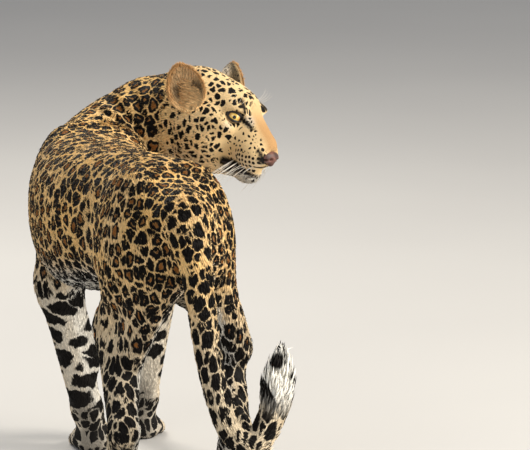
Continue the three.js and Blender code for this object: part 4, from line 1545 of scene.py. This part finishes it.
class Nodes:
    """The node tree of one material."""

    def __init__(self, tree: bpy.types.NodeTree) -> None:
        self.tree = tree

    def add(self, kind: str, settings: dict[str, object] | None = None,
            inputs: dict[int | str, Entry] | None = None, output: int | str = 0) -> Value:
        """Adds a node.

        Args:
            kind: type of the node.
            settings: its properties, set first.
            inputs: values or links of its sockets.
            output: which of its outputs is returned.

        Returns:
            The output.
        """
        node = self.tree.nodes.new(kind)
        for name, setting in (settings or {}).items():
            setattr(node, name, setting)
        self.feed(node, inputs or {})
        return Value(self, node.outputs[output])

    def feed(self, node: bpy.types.Node, inputs: dict[int | str, Entry]) -> None:
        """Links or sets sockets of a node."""
        for key, entry in inputs.items():
            if isinstance(entry, Value):
                self.tree.links.new(entry.socket, node.inputs[key])
            else:
                node.inputs[key].default_value = entry

    def place(self) -> Value:
        """The object's own coordinates."""
        return self.add("ShaderNodeTexCoord", output="Object")

    def attribute(self, name: str, output: str = "Vector") -> Value:
        """A value of the mesh."""
        return self.add("ShaderNodeAttribute", {"attribute_name": name}, output=output)

    def parts(self, vector: Value) -> list[Value]:
        """The three numbers of a vector or colour."""
        first = self.add("ShaderNodeSeparateXYZ", None, {0: vector})
        return [first, first.other("Y"), first.other("Z")]

    def step(self, value: Value, low: float, high: float, bottom: float = 0.0, top: float = 1.0) -> Value:
        """Bottom up to low and top from high on, with a smooth S between."""
        return self.add("ShaderNodeMapRange", {"interpolation_type": "SMOOTHSTEP"},
                        {"Value": value, "From Min": low, "From Max": high,
                         "To Min": bottom, "To Max": top})

    def mix(self, a: Entry, b: Entry, share: Entry, blend: str = "MIX") -> Value:
        """Two colours in a share of the second."""
        return self.add("ShaderNodeMix", {"data_type": "RGBA", "blend_type": blend, "clamp_factor": True},
                        {0: share, 6: a, 7: b}, 2)

    def shade(self, colour: Entry, value: Value) -> Value:
        """A colour times a number."""
        return self.mix(colour, value, 1.0, "MULTIPLY")

    def vector(self, operation: str, a: Entry, b: Entry) -> Value:
        """A Vector Math node on two vectors."""
        return self.add("ShaderNodeVectorMath", {"operation": operation}, {0: a, 1: b})

    def noise(self, place: Value, scale: float, detail: float = 2.0, output: str = "Factor") -> Value:
        """Noise, of features about one over the scale across."""
        found = self.add("ShaderNodeTexNoise", None, {"Vector": place, "Scale": scale, "Detail": detail})
        return found if output == "Factor" else found.other(output)

    def cells(self, place: Value, scale: float, randomness: float, feature: str = "F1") -> Value:
        """Distance to the nearest of scattered points, or to the edge between two, in cells."""
        return self.add("ShaderNodeTexVoronoi", {"feature": feature},
                        {"Vector": place, "Scale": scale, "Randomness": randomness}, "Distance")

    def bump(self, height: Value, depth: float, strength: float = 1.0) -> Value:
        """A normal pressed by a height, over a depth in metres."""
        return self.add("ShaderNodeBump", None, {"Height": height, "Distance": depth, "Strength": strength})


def rgb(red: int, green: int, blue: int) -> tuple[float, float, float, float]:
    """A colour given in display numbers from 0 to 255, as linear light."""
    linear = (((c / 255 + 0.055) / 1.055) ** 2.4 if c > 10 else c / 255 / 12.92
              for c in (red, green, blue))
    return (*linear, 1)


class Finish:
    """A material with one principled shader."""

    name: str

    def build(self) -> bpy.types.Material:
        """The material, made from what paint gives."""
        material = bpy.data.materials.new(self.name)
        material.use_nodes = True
        shader = next(n for n in material.node_tree.nodes if n.type == "BSDF_PRINCIPLED")
        nodes = Nodes(material.node_tree)
        nodes.feed(shader, self.paint(nodes))
        return material

    def paint(self, nodes: Nodes) -> dict[str, Entry]:
        """Entries of the shader's sockets."""
        raise NotImplementedError


@dataclass(frozen=True)
class CoatFinish(Finish):
    """The spotted coat, on the skin and on the tufts.

    On the body cells give black blobs apart by pale lines, and the larger ones have a tawny middle. The
    face has smaller spots, the muzzle fine dots with rows of them on the whisker pads, the legs solid blobs
    and the fore legs bars across.
    """

    BODY_CELLS = 55.0
    FACE_CELLS = 84.0
    MUZZLE_CELLS = 150.0
    BAR_CELLS = (17.0, 17.0, 52.0)
    WARP = (0.012, 0.012, 0.012)

    name: str
    hair: bool
    golden: tuple[float, ...] = rgb(244, 200, 128)
    sand: tuple[float, ...] = rgb(220, 202, 172)
    tawny: tuple[float, ...] = rgb(150, 96, 46)
    cream: tuple[float, ...] = rgb(255, 221, 164)
    pale: tuple[float, ...] = rgb(226, 220, 208)
    white: tuple[float, ...] = rgb(246, 242, 232)
    bridge: tuple[float, ...] = rgb(190, 138, 84)
    black: tuple[float, ...] = rgb(7, 5, 4)
    soft_black: tuple[float, ...] = rgb(20, 15, 11)

    def paint(self, nodes: Nodes) -> dict[str, Entry]:
        """Entries of the shader's sockets."""
        colour, black = self.colours(nodes)
        lock = nodes.parts(nodes.attribute("lock"))
        if self.hair:
            # Each tuft is painted darker at its root than at its tip, painted shade deep in the coat, on
            # top of its own random tone.
            shade = 0.8 + lock[0] * 0.34 + lock[1] * 0.16
            drawn_out = nodes.vector("MULTIPLY", nodes.attribute("lock"), (61.0, 1.2, 4.0))
            streak = nodes.noise(drawn_out, 1.0, 1.0)
            height = nodes.bump(streak, 0.0006, 0.6)
        else:
            grain = nodes.noise(nodes.place(), 700.0, 3.0)
            # The skin under the tufts is painted darker than the hair, painted shade deep in the coat, with
            # a random grain.
            shade = 0.62 + grain * 0.3
            height = nodes.bump(grain, 0.0012, 0.9)
        return {"Base Color": nodes.shade(colour, shade), "Roughness": nodes.step(black, 0, 1, 0.8, 0.6),
                "Normal": height, "Specular IOR Level": 0.14}

    def colours(self, nodes: Nodes) -> tuple[Value, Value]:
        """The coat's colour and how black it is.

        Args:
            nodes: the material's nodes.

        Returns:
            The colour and the share of black.
        """
        raw = nodes.attribute("pelt")
        warp = nodes.vector("SUBTRACT", nodes.noise(raw, 75.0, 2.0, "Color"), (0.5, 0.5, 0.5))
        place = nodes.vector("ADD", raw, nodes.vector("MULTIPLY", warp, self.WARP))
        face, limb, pale = nodes.parts(nodes.attribute("zones"))
        bar = nodes.attribute("zones", "Alpha")
        tip, tawny, dark = nodes.parts(nodes.attribute("more"))
        cream = nodes.attribute("more", "Alpha")
        tone = nodes.noise(raw, 9.0, 3.0)
        low = nodes.step(nodes.parts(raw)[2], 0.4, 0.2)
        ground = nodes.mix(self.golden, self.sand, low.above(nodes.step(tone, 0.35, 0.75) * 0.4))
        ground = nodes.mix(ground, self.cream, cream)
        ground = nodes.mix(ground, self.pale, pale)
        ragged = (tone - 0.5) * 0.3
        face, limb = nodes.step(face + ragged, 0.45, 0.55), nodes.step(limb + ragged, 0.45, 0.55)
        spots, edge = self.blobs(nodes, place, self.BODY_CELLS, -0.16)
        brown = nodes.step(edge - face.above(limb).above(pale) * 0.3, 0.3, 0.36)
        ground = nodes.mix(ground, self.tawny, brown)
        ground = nodes.mix(ground, self.bridge, tawny)
        small = self.blobs(nodes, place, self.FACE_CELLS, -0.03)[0]
        fine = self.blobs(nodes, place, self.MUZZLE_CELLS, 0.1)[0]
        small = (small * (1 - limb) + fine * limb) * nodes.step(tawny, 0.35, 0.1)
        spots = spots * (1 - brown) * (1 - face) + small * face
        bars = self.blobs(nodes, nodes.vector("MULTIPLY", place, self.BAR_CELLS), 1.0, -0.12)[0]
        bar = nodes.step(bar + ragged, 0.45, 0.55)
        spots = (spots * (1 - bar) + (bars * (1 - face) + self.rows(nodes) * face) * bar) * (1 - tip)
        patches = nodes.step(nodes.noise(raw, 24.0, 1.0), 0.5, 0.56) * tip
        ground = nodes.mix(ground, self.white, tip)
        black = spots.above(dark).above(patches)
        ink = nodes.mix(self.black, self.soft_black, nodes.noise(raw, 160.0, 2.0))
        return nodes.mix(ground, ink, black), black

    @staticmethod
    def rows(nodes: Nodes) -> Value:
        """Dots at the whiskers' roots, 6.6 mm apart in rows along the pad that are 8.2 mm apart."""
        x, _, z = nodes.parts(nodes.attribute("skull"))
        row = z * 0.122 - x * 0.0115 + 2.57
        place = nodes.add("ShaderNodeCombineXYZ", None, {0: x * 0.152, 1: 0.12, 2: row})
        return nodes.step(nodes.cells(place, 1.0, 0.25), 0.38, 0.3)

    @staticmethod
    def blobs(nodes: Nodes, place: Value, scale: float, gap: float) -> tuple[Value, Value]:
        """Rounded blobs, one to a cell: where edge - 0.4 near is above the gap.

        Args:
            nodes: the material's nodes.
            place: where on the coat.
            scale: cells to the metre.
            gap: half of the pale line between two blobs, in cells, less 0.4 of the distance to their
                points.

        Returns:
            The share of black and the distance to the cell's edge.
        """
        near = nodes.cells(place, scale, 0.85)
        edge = nodes.cells(place, scale, 0.85, "DISTANCE_TO_EDGE")
        return nodes.step(edge - near * 0.4, gap - 0.035, gap + 0.035), edge


@dataclass(frozen=True)
class EyeFinish(Finish):
    """Amber iris with fine spokes, a round pupil and a dark outer ring, under a wet gloss."""

    name: str = "eye"
    pupil: float = 12.0
    iris: float = 45.0

    def paint(self, nodes: Nodes) -> dict[str, Entry]:
        """Entries of the shader's sockets. The ring is the polar angle over 90 degrees."""
        place = nodes.attribute("iris")
        ring = nodes.parts(place)[0]
        spokes = nodes.noise(nodes.vector("MULTIPLY", place, (2.5, 16.0, 16.0)), 1.0, 3.0)
        outward = nodes.step(ring + (spokes - 0.5) * 0.35, 0.2, 0.5)
        amber = nodes.mix(rgb(240, 198, 92), rgb(178, 118, 42), outward)
        amber = nodes.mix(amber, rgb(96, 60, 22), nodes.step(spokes, 0.55, 0.75) * 0.5)
        rim = nodes.step(ring, (self.iris - 7) / 90, (self.iris + 1) / 90)
        amber = nodes.mix(amber, rgb(24, 16, 10), rim)
        pupil = nodes.step(ring, (self.pupil + 0.8) / 90, (self.pupil - 0.8) / 90)
        return {"Base Color": nodes.mix(amber, rgb(6, 5, 5), pupil), "Roughness": 0.22, "Coat Weight": 1.0,
                "Coat Roughness": 0.02, "Specular IOR Level": 0.6}


@dataclass(frozen=True)
class LidFinish(Finish):
    """Black rims of the lids, that turn into the short pale hair round the eye."""

    name: str = "lid"

    def paint(self, nodes: Nodes) -> dict[str, Entry]:
        """Entries of the shader's sockets."""
        grain = nodes.noise(nodes.place(), 900.0, 2.0)
        hair = nodes.shade(rgb(226, 196, 150), 0.7 + grain * 0.5)
        edge = nodes.attribute("edge", "Fac")
        return {"Base Color": nodes.mix(hair, rgb(20, 16, 15), edge),
                "Roughness": nodes.step(edge, 0, 1, 0.75, 0.38),
                "Normal": nodes.bump(grain, 0.0006, 0.6)}


@dataclass(frozen=True)
class LeatherFinish(Finish):
    """Bare skin in fine pebbles, dark pink-brown on the nose and darker elsewhere."""

    name: str
    light: tuple[float, ...]
    deep: tuple[float, ...]
    pebble: float = 900.0
    gloss: float = 0.42

    def paint(self, nodes: Nodes) -> dict[str, Entry]:
        """Entries of the shader's sockets."""
        place = nodes.place()
        tone = nodes.noise(place, 90.0, 3.0)
        pebbles = nodes.cells(place, self.pebble, 0.9)
        colour = nodes.mix(self.light, self.deep, nodes.step(tone, 0.35, 0.65))
        colour = nodes.shade(colour, 1.1 - pebbles * 0.35)
        return {"Base Color": colour, "Roughness": self.gloss + tone * 0.15,
                "Normal": nodes.bump(pebbles, 0.0004, 0.5)}


@dataclass(frozen=True)
class WhiskerFinish(Finish):
    """White hairs, a little yellow in places."""

    name: str = "whisker"

    def paint(self, nodes: Nodes) -> dict[str, Entry]:
        """Entries of the shader's sockets."""
        tone = nodes.noise(nodes.place(), 60.0, 2.0)
        return {"Base Color": nodes.mix(rgb(246, 243, 236), rgb(222, 208, 184), tone), "Roughness": 0.35,
                "Specular IOR Level": 0.6}


@dataclass(frozen=True)
class HornFinish(Finish):
    """Claws: horn in patches of pale and dark."""

    name: str = "claw"

    def paint(self, nodes: Nodes) -> dict[str, Entry]:
        """Entries of the shader's sockets."""
        tone = nodes.noise(nodes.place(), 220.0, 2.0)
        return {"Base Color": nodes.mix(rgb(196, 180, 156), rgb(96, 80, 66), tone), "Roughness": 0.3,
                "Coat Weight": 0.3}


@dataclass(frozen=True)
class FloorFinish(Finish):
    """A plain pale floor."""

    name: str = "floor"

    def paint(self, nodes: Nodes) -> dict[str, Entry]:
        """Entries of the shader's sockets."""
        tone = nodes.noise(nodes.place(), 1.2, 2.0)
        return {"Base Color": nodes.mix(rgb(200, 198, 194), rgb(192, 190, 187), tone), "Roughness": 0.8}


FIELDS = {
    "pelt": ("FLOAT_VECTOR", "vector"), "skull": ("FLOAT_VECTOR", "vector"),
    "zones": ("FLOAT_COLOR", "color"), "more": ("FLOAT_COLOR", "color"),
    "lock": ("FLOAT_VECTOR", "vector"), "iris": ("FLOAT_VECTOR", "vector"),
    "edge": ("FLOAT", "value"),
}


def linked(name: str, data: bpy.types.ID) -> bpy.types.Object:
    """A new object in the scene."""
    made = bpy.data.objects.new(name, data)
    bpy.context.scene.collection.objects.link(made)
    return made


def make_object(name: str, shell: Shell, material: bpy.types.Material, slot: str) -> bpy.types.Object:
    """Makes a piece from a mesh given in the hips' frame, and puts it in the model's frame in metres.

    Args:
        name: name of the piece.
        shell: its mesh, with the values that its material reads.
        material: its material.
        slot: not used.

    Returns:
        The object.
    """
    mesh = bpy.data.meshes.new(name)
    points = ((shell.points + ORIGIN_SHIFT) * MM).astype(np.float32)
    triangles = shell.triangles.astype(np.int32)
    mesh.vertices.add(len(points))
    mesh.vertices.foreach_set("co", points.ravel())
    mesh.loops.add(triangles.size)
    mesh.loops.foreach_set("vertex_index", triangles.ravel())
    mesh.polygons.add(len(triangles))
    mesh.polygons.foreach_set("loop_start", np.arange(0, triangles.size, 3, dtype=np.int32))
    mesh.update(calc_edges=True)
    mesh.polygons.foreach_set("use_smooth", np.ones(len(triangles), bool))
    for key, (kind, field) in FIELDS.items():
        if key in shell.values:
            data = mesh.attributes.new(key, kind, "POINT").data
            data.foreach_set(field, shell.values[key].astype(np.float32).ravel())
    if "OFBake" in shell.values:
        layer = mesh.uv_layers.new(name="OFBake")
        layer.uv.foreach_set("vector", shell.values["OFBake"][triangles.ravel()].astype(np.float32).ravel())
    mesh.materials.append(material)
    made = linked(name, mesh)
    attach(made, "root")
    corners = points[triangles]
    volume = float(np.einsum("ni,ni->n", corners[:, 0], np.cross(corners[:, 1], corners[:, 2])).sum()) / 6
    LOG.info("%s: %d triangles, %.3f litres", name, len(triangles), volume * 1000)
    return made


@dataclass(frozen=True)
class Studio:
    """A pale floor, four soft lamps and a camera at the photograph's viewing angle.

    The camera stands behind the point it looks at and is turned right and up, which puts the animal low and
    to the left in its picture.
    """

    look: tuple[float, ...] = (-0.1974, 0.0727, 0.354)
    back: tuple[float, ...] = (-0.947, 0.254, 0.198)
    distance: float = 9.0
    right: float = 0.164
    up: float = 0.123
    lens: float = 0.61 * 9000 / 530 * 36

    def build(self) -> None:
        """Makes all of it."""
        self.make_floor()
        self.make_camera()
        self.lamp("key", (-1.7, -3.2, 3.2), 1.4, 215.0, (1.0, 0.94, 0.84))
        self.lamp("fill", (-3.2, 2.6, 1.6), 2.6, 40.0, (0.92, 0.96, 1.0))
        self.lamp("cheek", (-2.6, -2.8, 0.9), 1.8, 70.0, (1.0, 0.96, 0.9))
        self.lamp("rim", (2.6, 0.6, 2.9), 1.8, 90.0, (1.0, 0.95, 0.86))
        world = bpy.data.worlds.new("studio")
        world.use_nodes = True
        background = next(n for n in world.node_tree.nodes if n.type == "BACKGROUND")
        background.inputs["Color"].default_value = (0.93, 0.95, 1.0, 1)
        background.inputs["Strength"].default_value = 0.4
        bpy.context.scene.world = world
        bpy.context.scene.view_settings.view_transform = "Standard"

    def make_floor(self) -> None:
        """A wide flat sheet under the feet."""
        mesh = bpy.data.meshes.new("floor")
        half = 14.0
        mesh.from_pydata([(-half, -half, 0), (half, -half, 0), (half, half, 0), (-half, half, 0)], [],
                         [(0, 1, 2, 3)])
        mesh.materials.append(FloorFinish().build())
        linked("floor", mesh)

    def make_camera(self) -> None:
        """The camera, level with the horizon and turned by the photograph's angles."""
        back = Vector(self.back).normalized()
        right = Vector((0, 0, 1)).cross(back).normalized()
        up = back.cross(right)
        data = bpy.data.cameras.new("camera")
        data.sensor_width = 36.0
        data.lens = self.lens
        data.clip_end = 60.0
        camera = linked("camera", data)
        aim = Vector(self.look) + right * self.right + up * self.up
        place = Vector(self.look) + back * self.distance
        back = (place - aim).normalized()
        right = Vector((0, 0, 1)).cross(back).normalized()
        turn = Matrix((right, back.cross(right), back)).transposed()
        camera.matrix_world = Matrix.Translation(place) @ turn.to_4x4()
        bpy.context.scene.camera = camera

    @staticmethod
    def lamp(name: str, place: Sequence[float], size: float, power: float, colour: Sequence[float]) -> None:
        """One square lamp, aimed at the animal's middle."""
        data = bpy.data.lights.new(name, "AREA")
        data.size = size
        data.energy = power
        data.color = colour
        lamp = linked(name, data)
        aim = Vector((0.0, 0.0, 0.35)) - Vector(place)
        lamp.rotation_euler = aim.to_track_quat("-Z", "Y").to_euler()
        lamp.location = place


FLESH = (
    "head", "neck", "chest", "abdomen", "hindquarters", "tail_base", "tail_middle", "tail_tip",
    "foreleg_left", "foreleg_right", "hindleg_left", "hindleg_right",
    "paw_fore_left", "paw_fore_right", "paw_hind_left", "paw_hind_right", "ear_left", "ear_right",
)


def dress(body: Anatomy) -> None:
    """Makes the eyes, lids, nose, lips, whiskers, pads and claws."""
    eye, lid = EyeFinish().build(), LidFinish().build()
    for side, word in ((1, "left"), (-1, "right")):
        made = Eye(body.head, side)
        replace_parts(make_object(f"eyeball_{word}", made.ball(), eye, "eye"), f"eye_{word}")
        make_object(f"lids_{word}", made.lids(), lid, "coat")
    leather = LeatherFinish("nose_leather", rgb(124, 80, 68), rgb(74, 49, 43))
    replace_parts(make_object("nose_leather", Nose(body.head).build(), leather.build(), "nose"), "nose")
    dark = LeatherFinish("dark_leather", rgb(38, 30, 28), rgb(24, 19, 18), 700.0, 0.5).build()
    make_object("lips", Lips(body).build(), dark, "nose")
    make_object("pads", Pads(body).build(), dark, "nose")
    make_object("whiskers", Whiskers(body).build(), WhiskerFinish().build(), "coat")
    make_object("claws", Claws(body).build(), HornFinish().build(), "nose")


def main() -> None:
    """Builds the animal and the studio, and reports each piece."""
    logging.basicConfig(level=logging.INFO, format="%(message)s")
    body = Anatomy()
    skin = Skin(body, SKIN_SPACING).build()
    skin.values["lock"] = np.tile([0.5, 0.5, 0.0], (len(skin.points), 1))
    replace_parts(make_object("skin", skin, CoatFinish("coat_skin", False).build(), "coat"), *FLESH)
    tuft = CoatFinish("coat_hair", True).build()
    coat = Coat(skin, body.head, COAT_COVER)
    for name, shell in coat.build().items():
        make_object(name, shell, tuft, "ear" if name == "coat_ear" else "coat")
    dress(body)
    Studio().build()


if __name__ == "__main__":
    main()
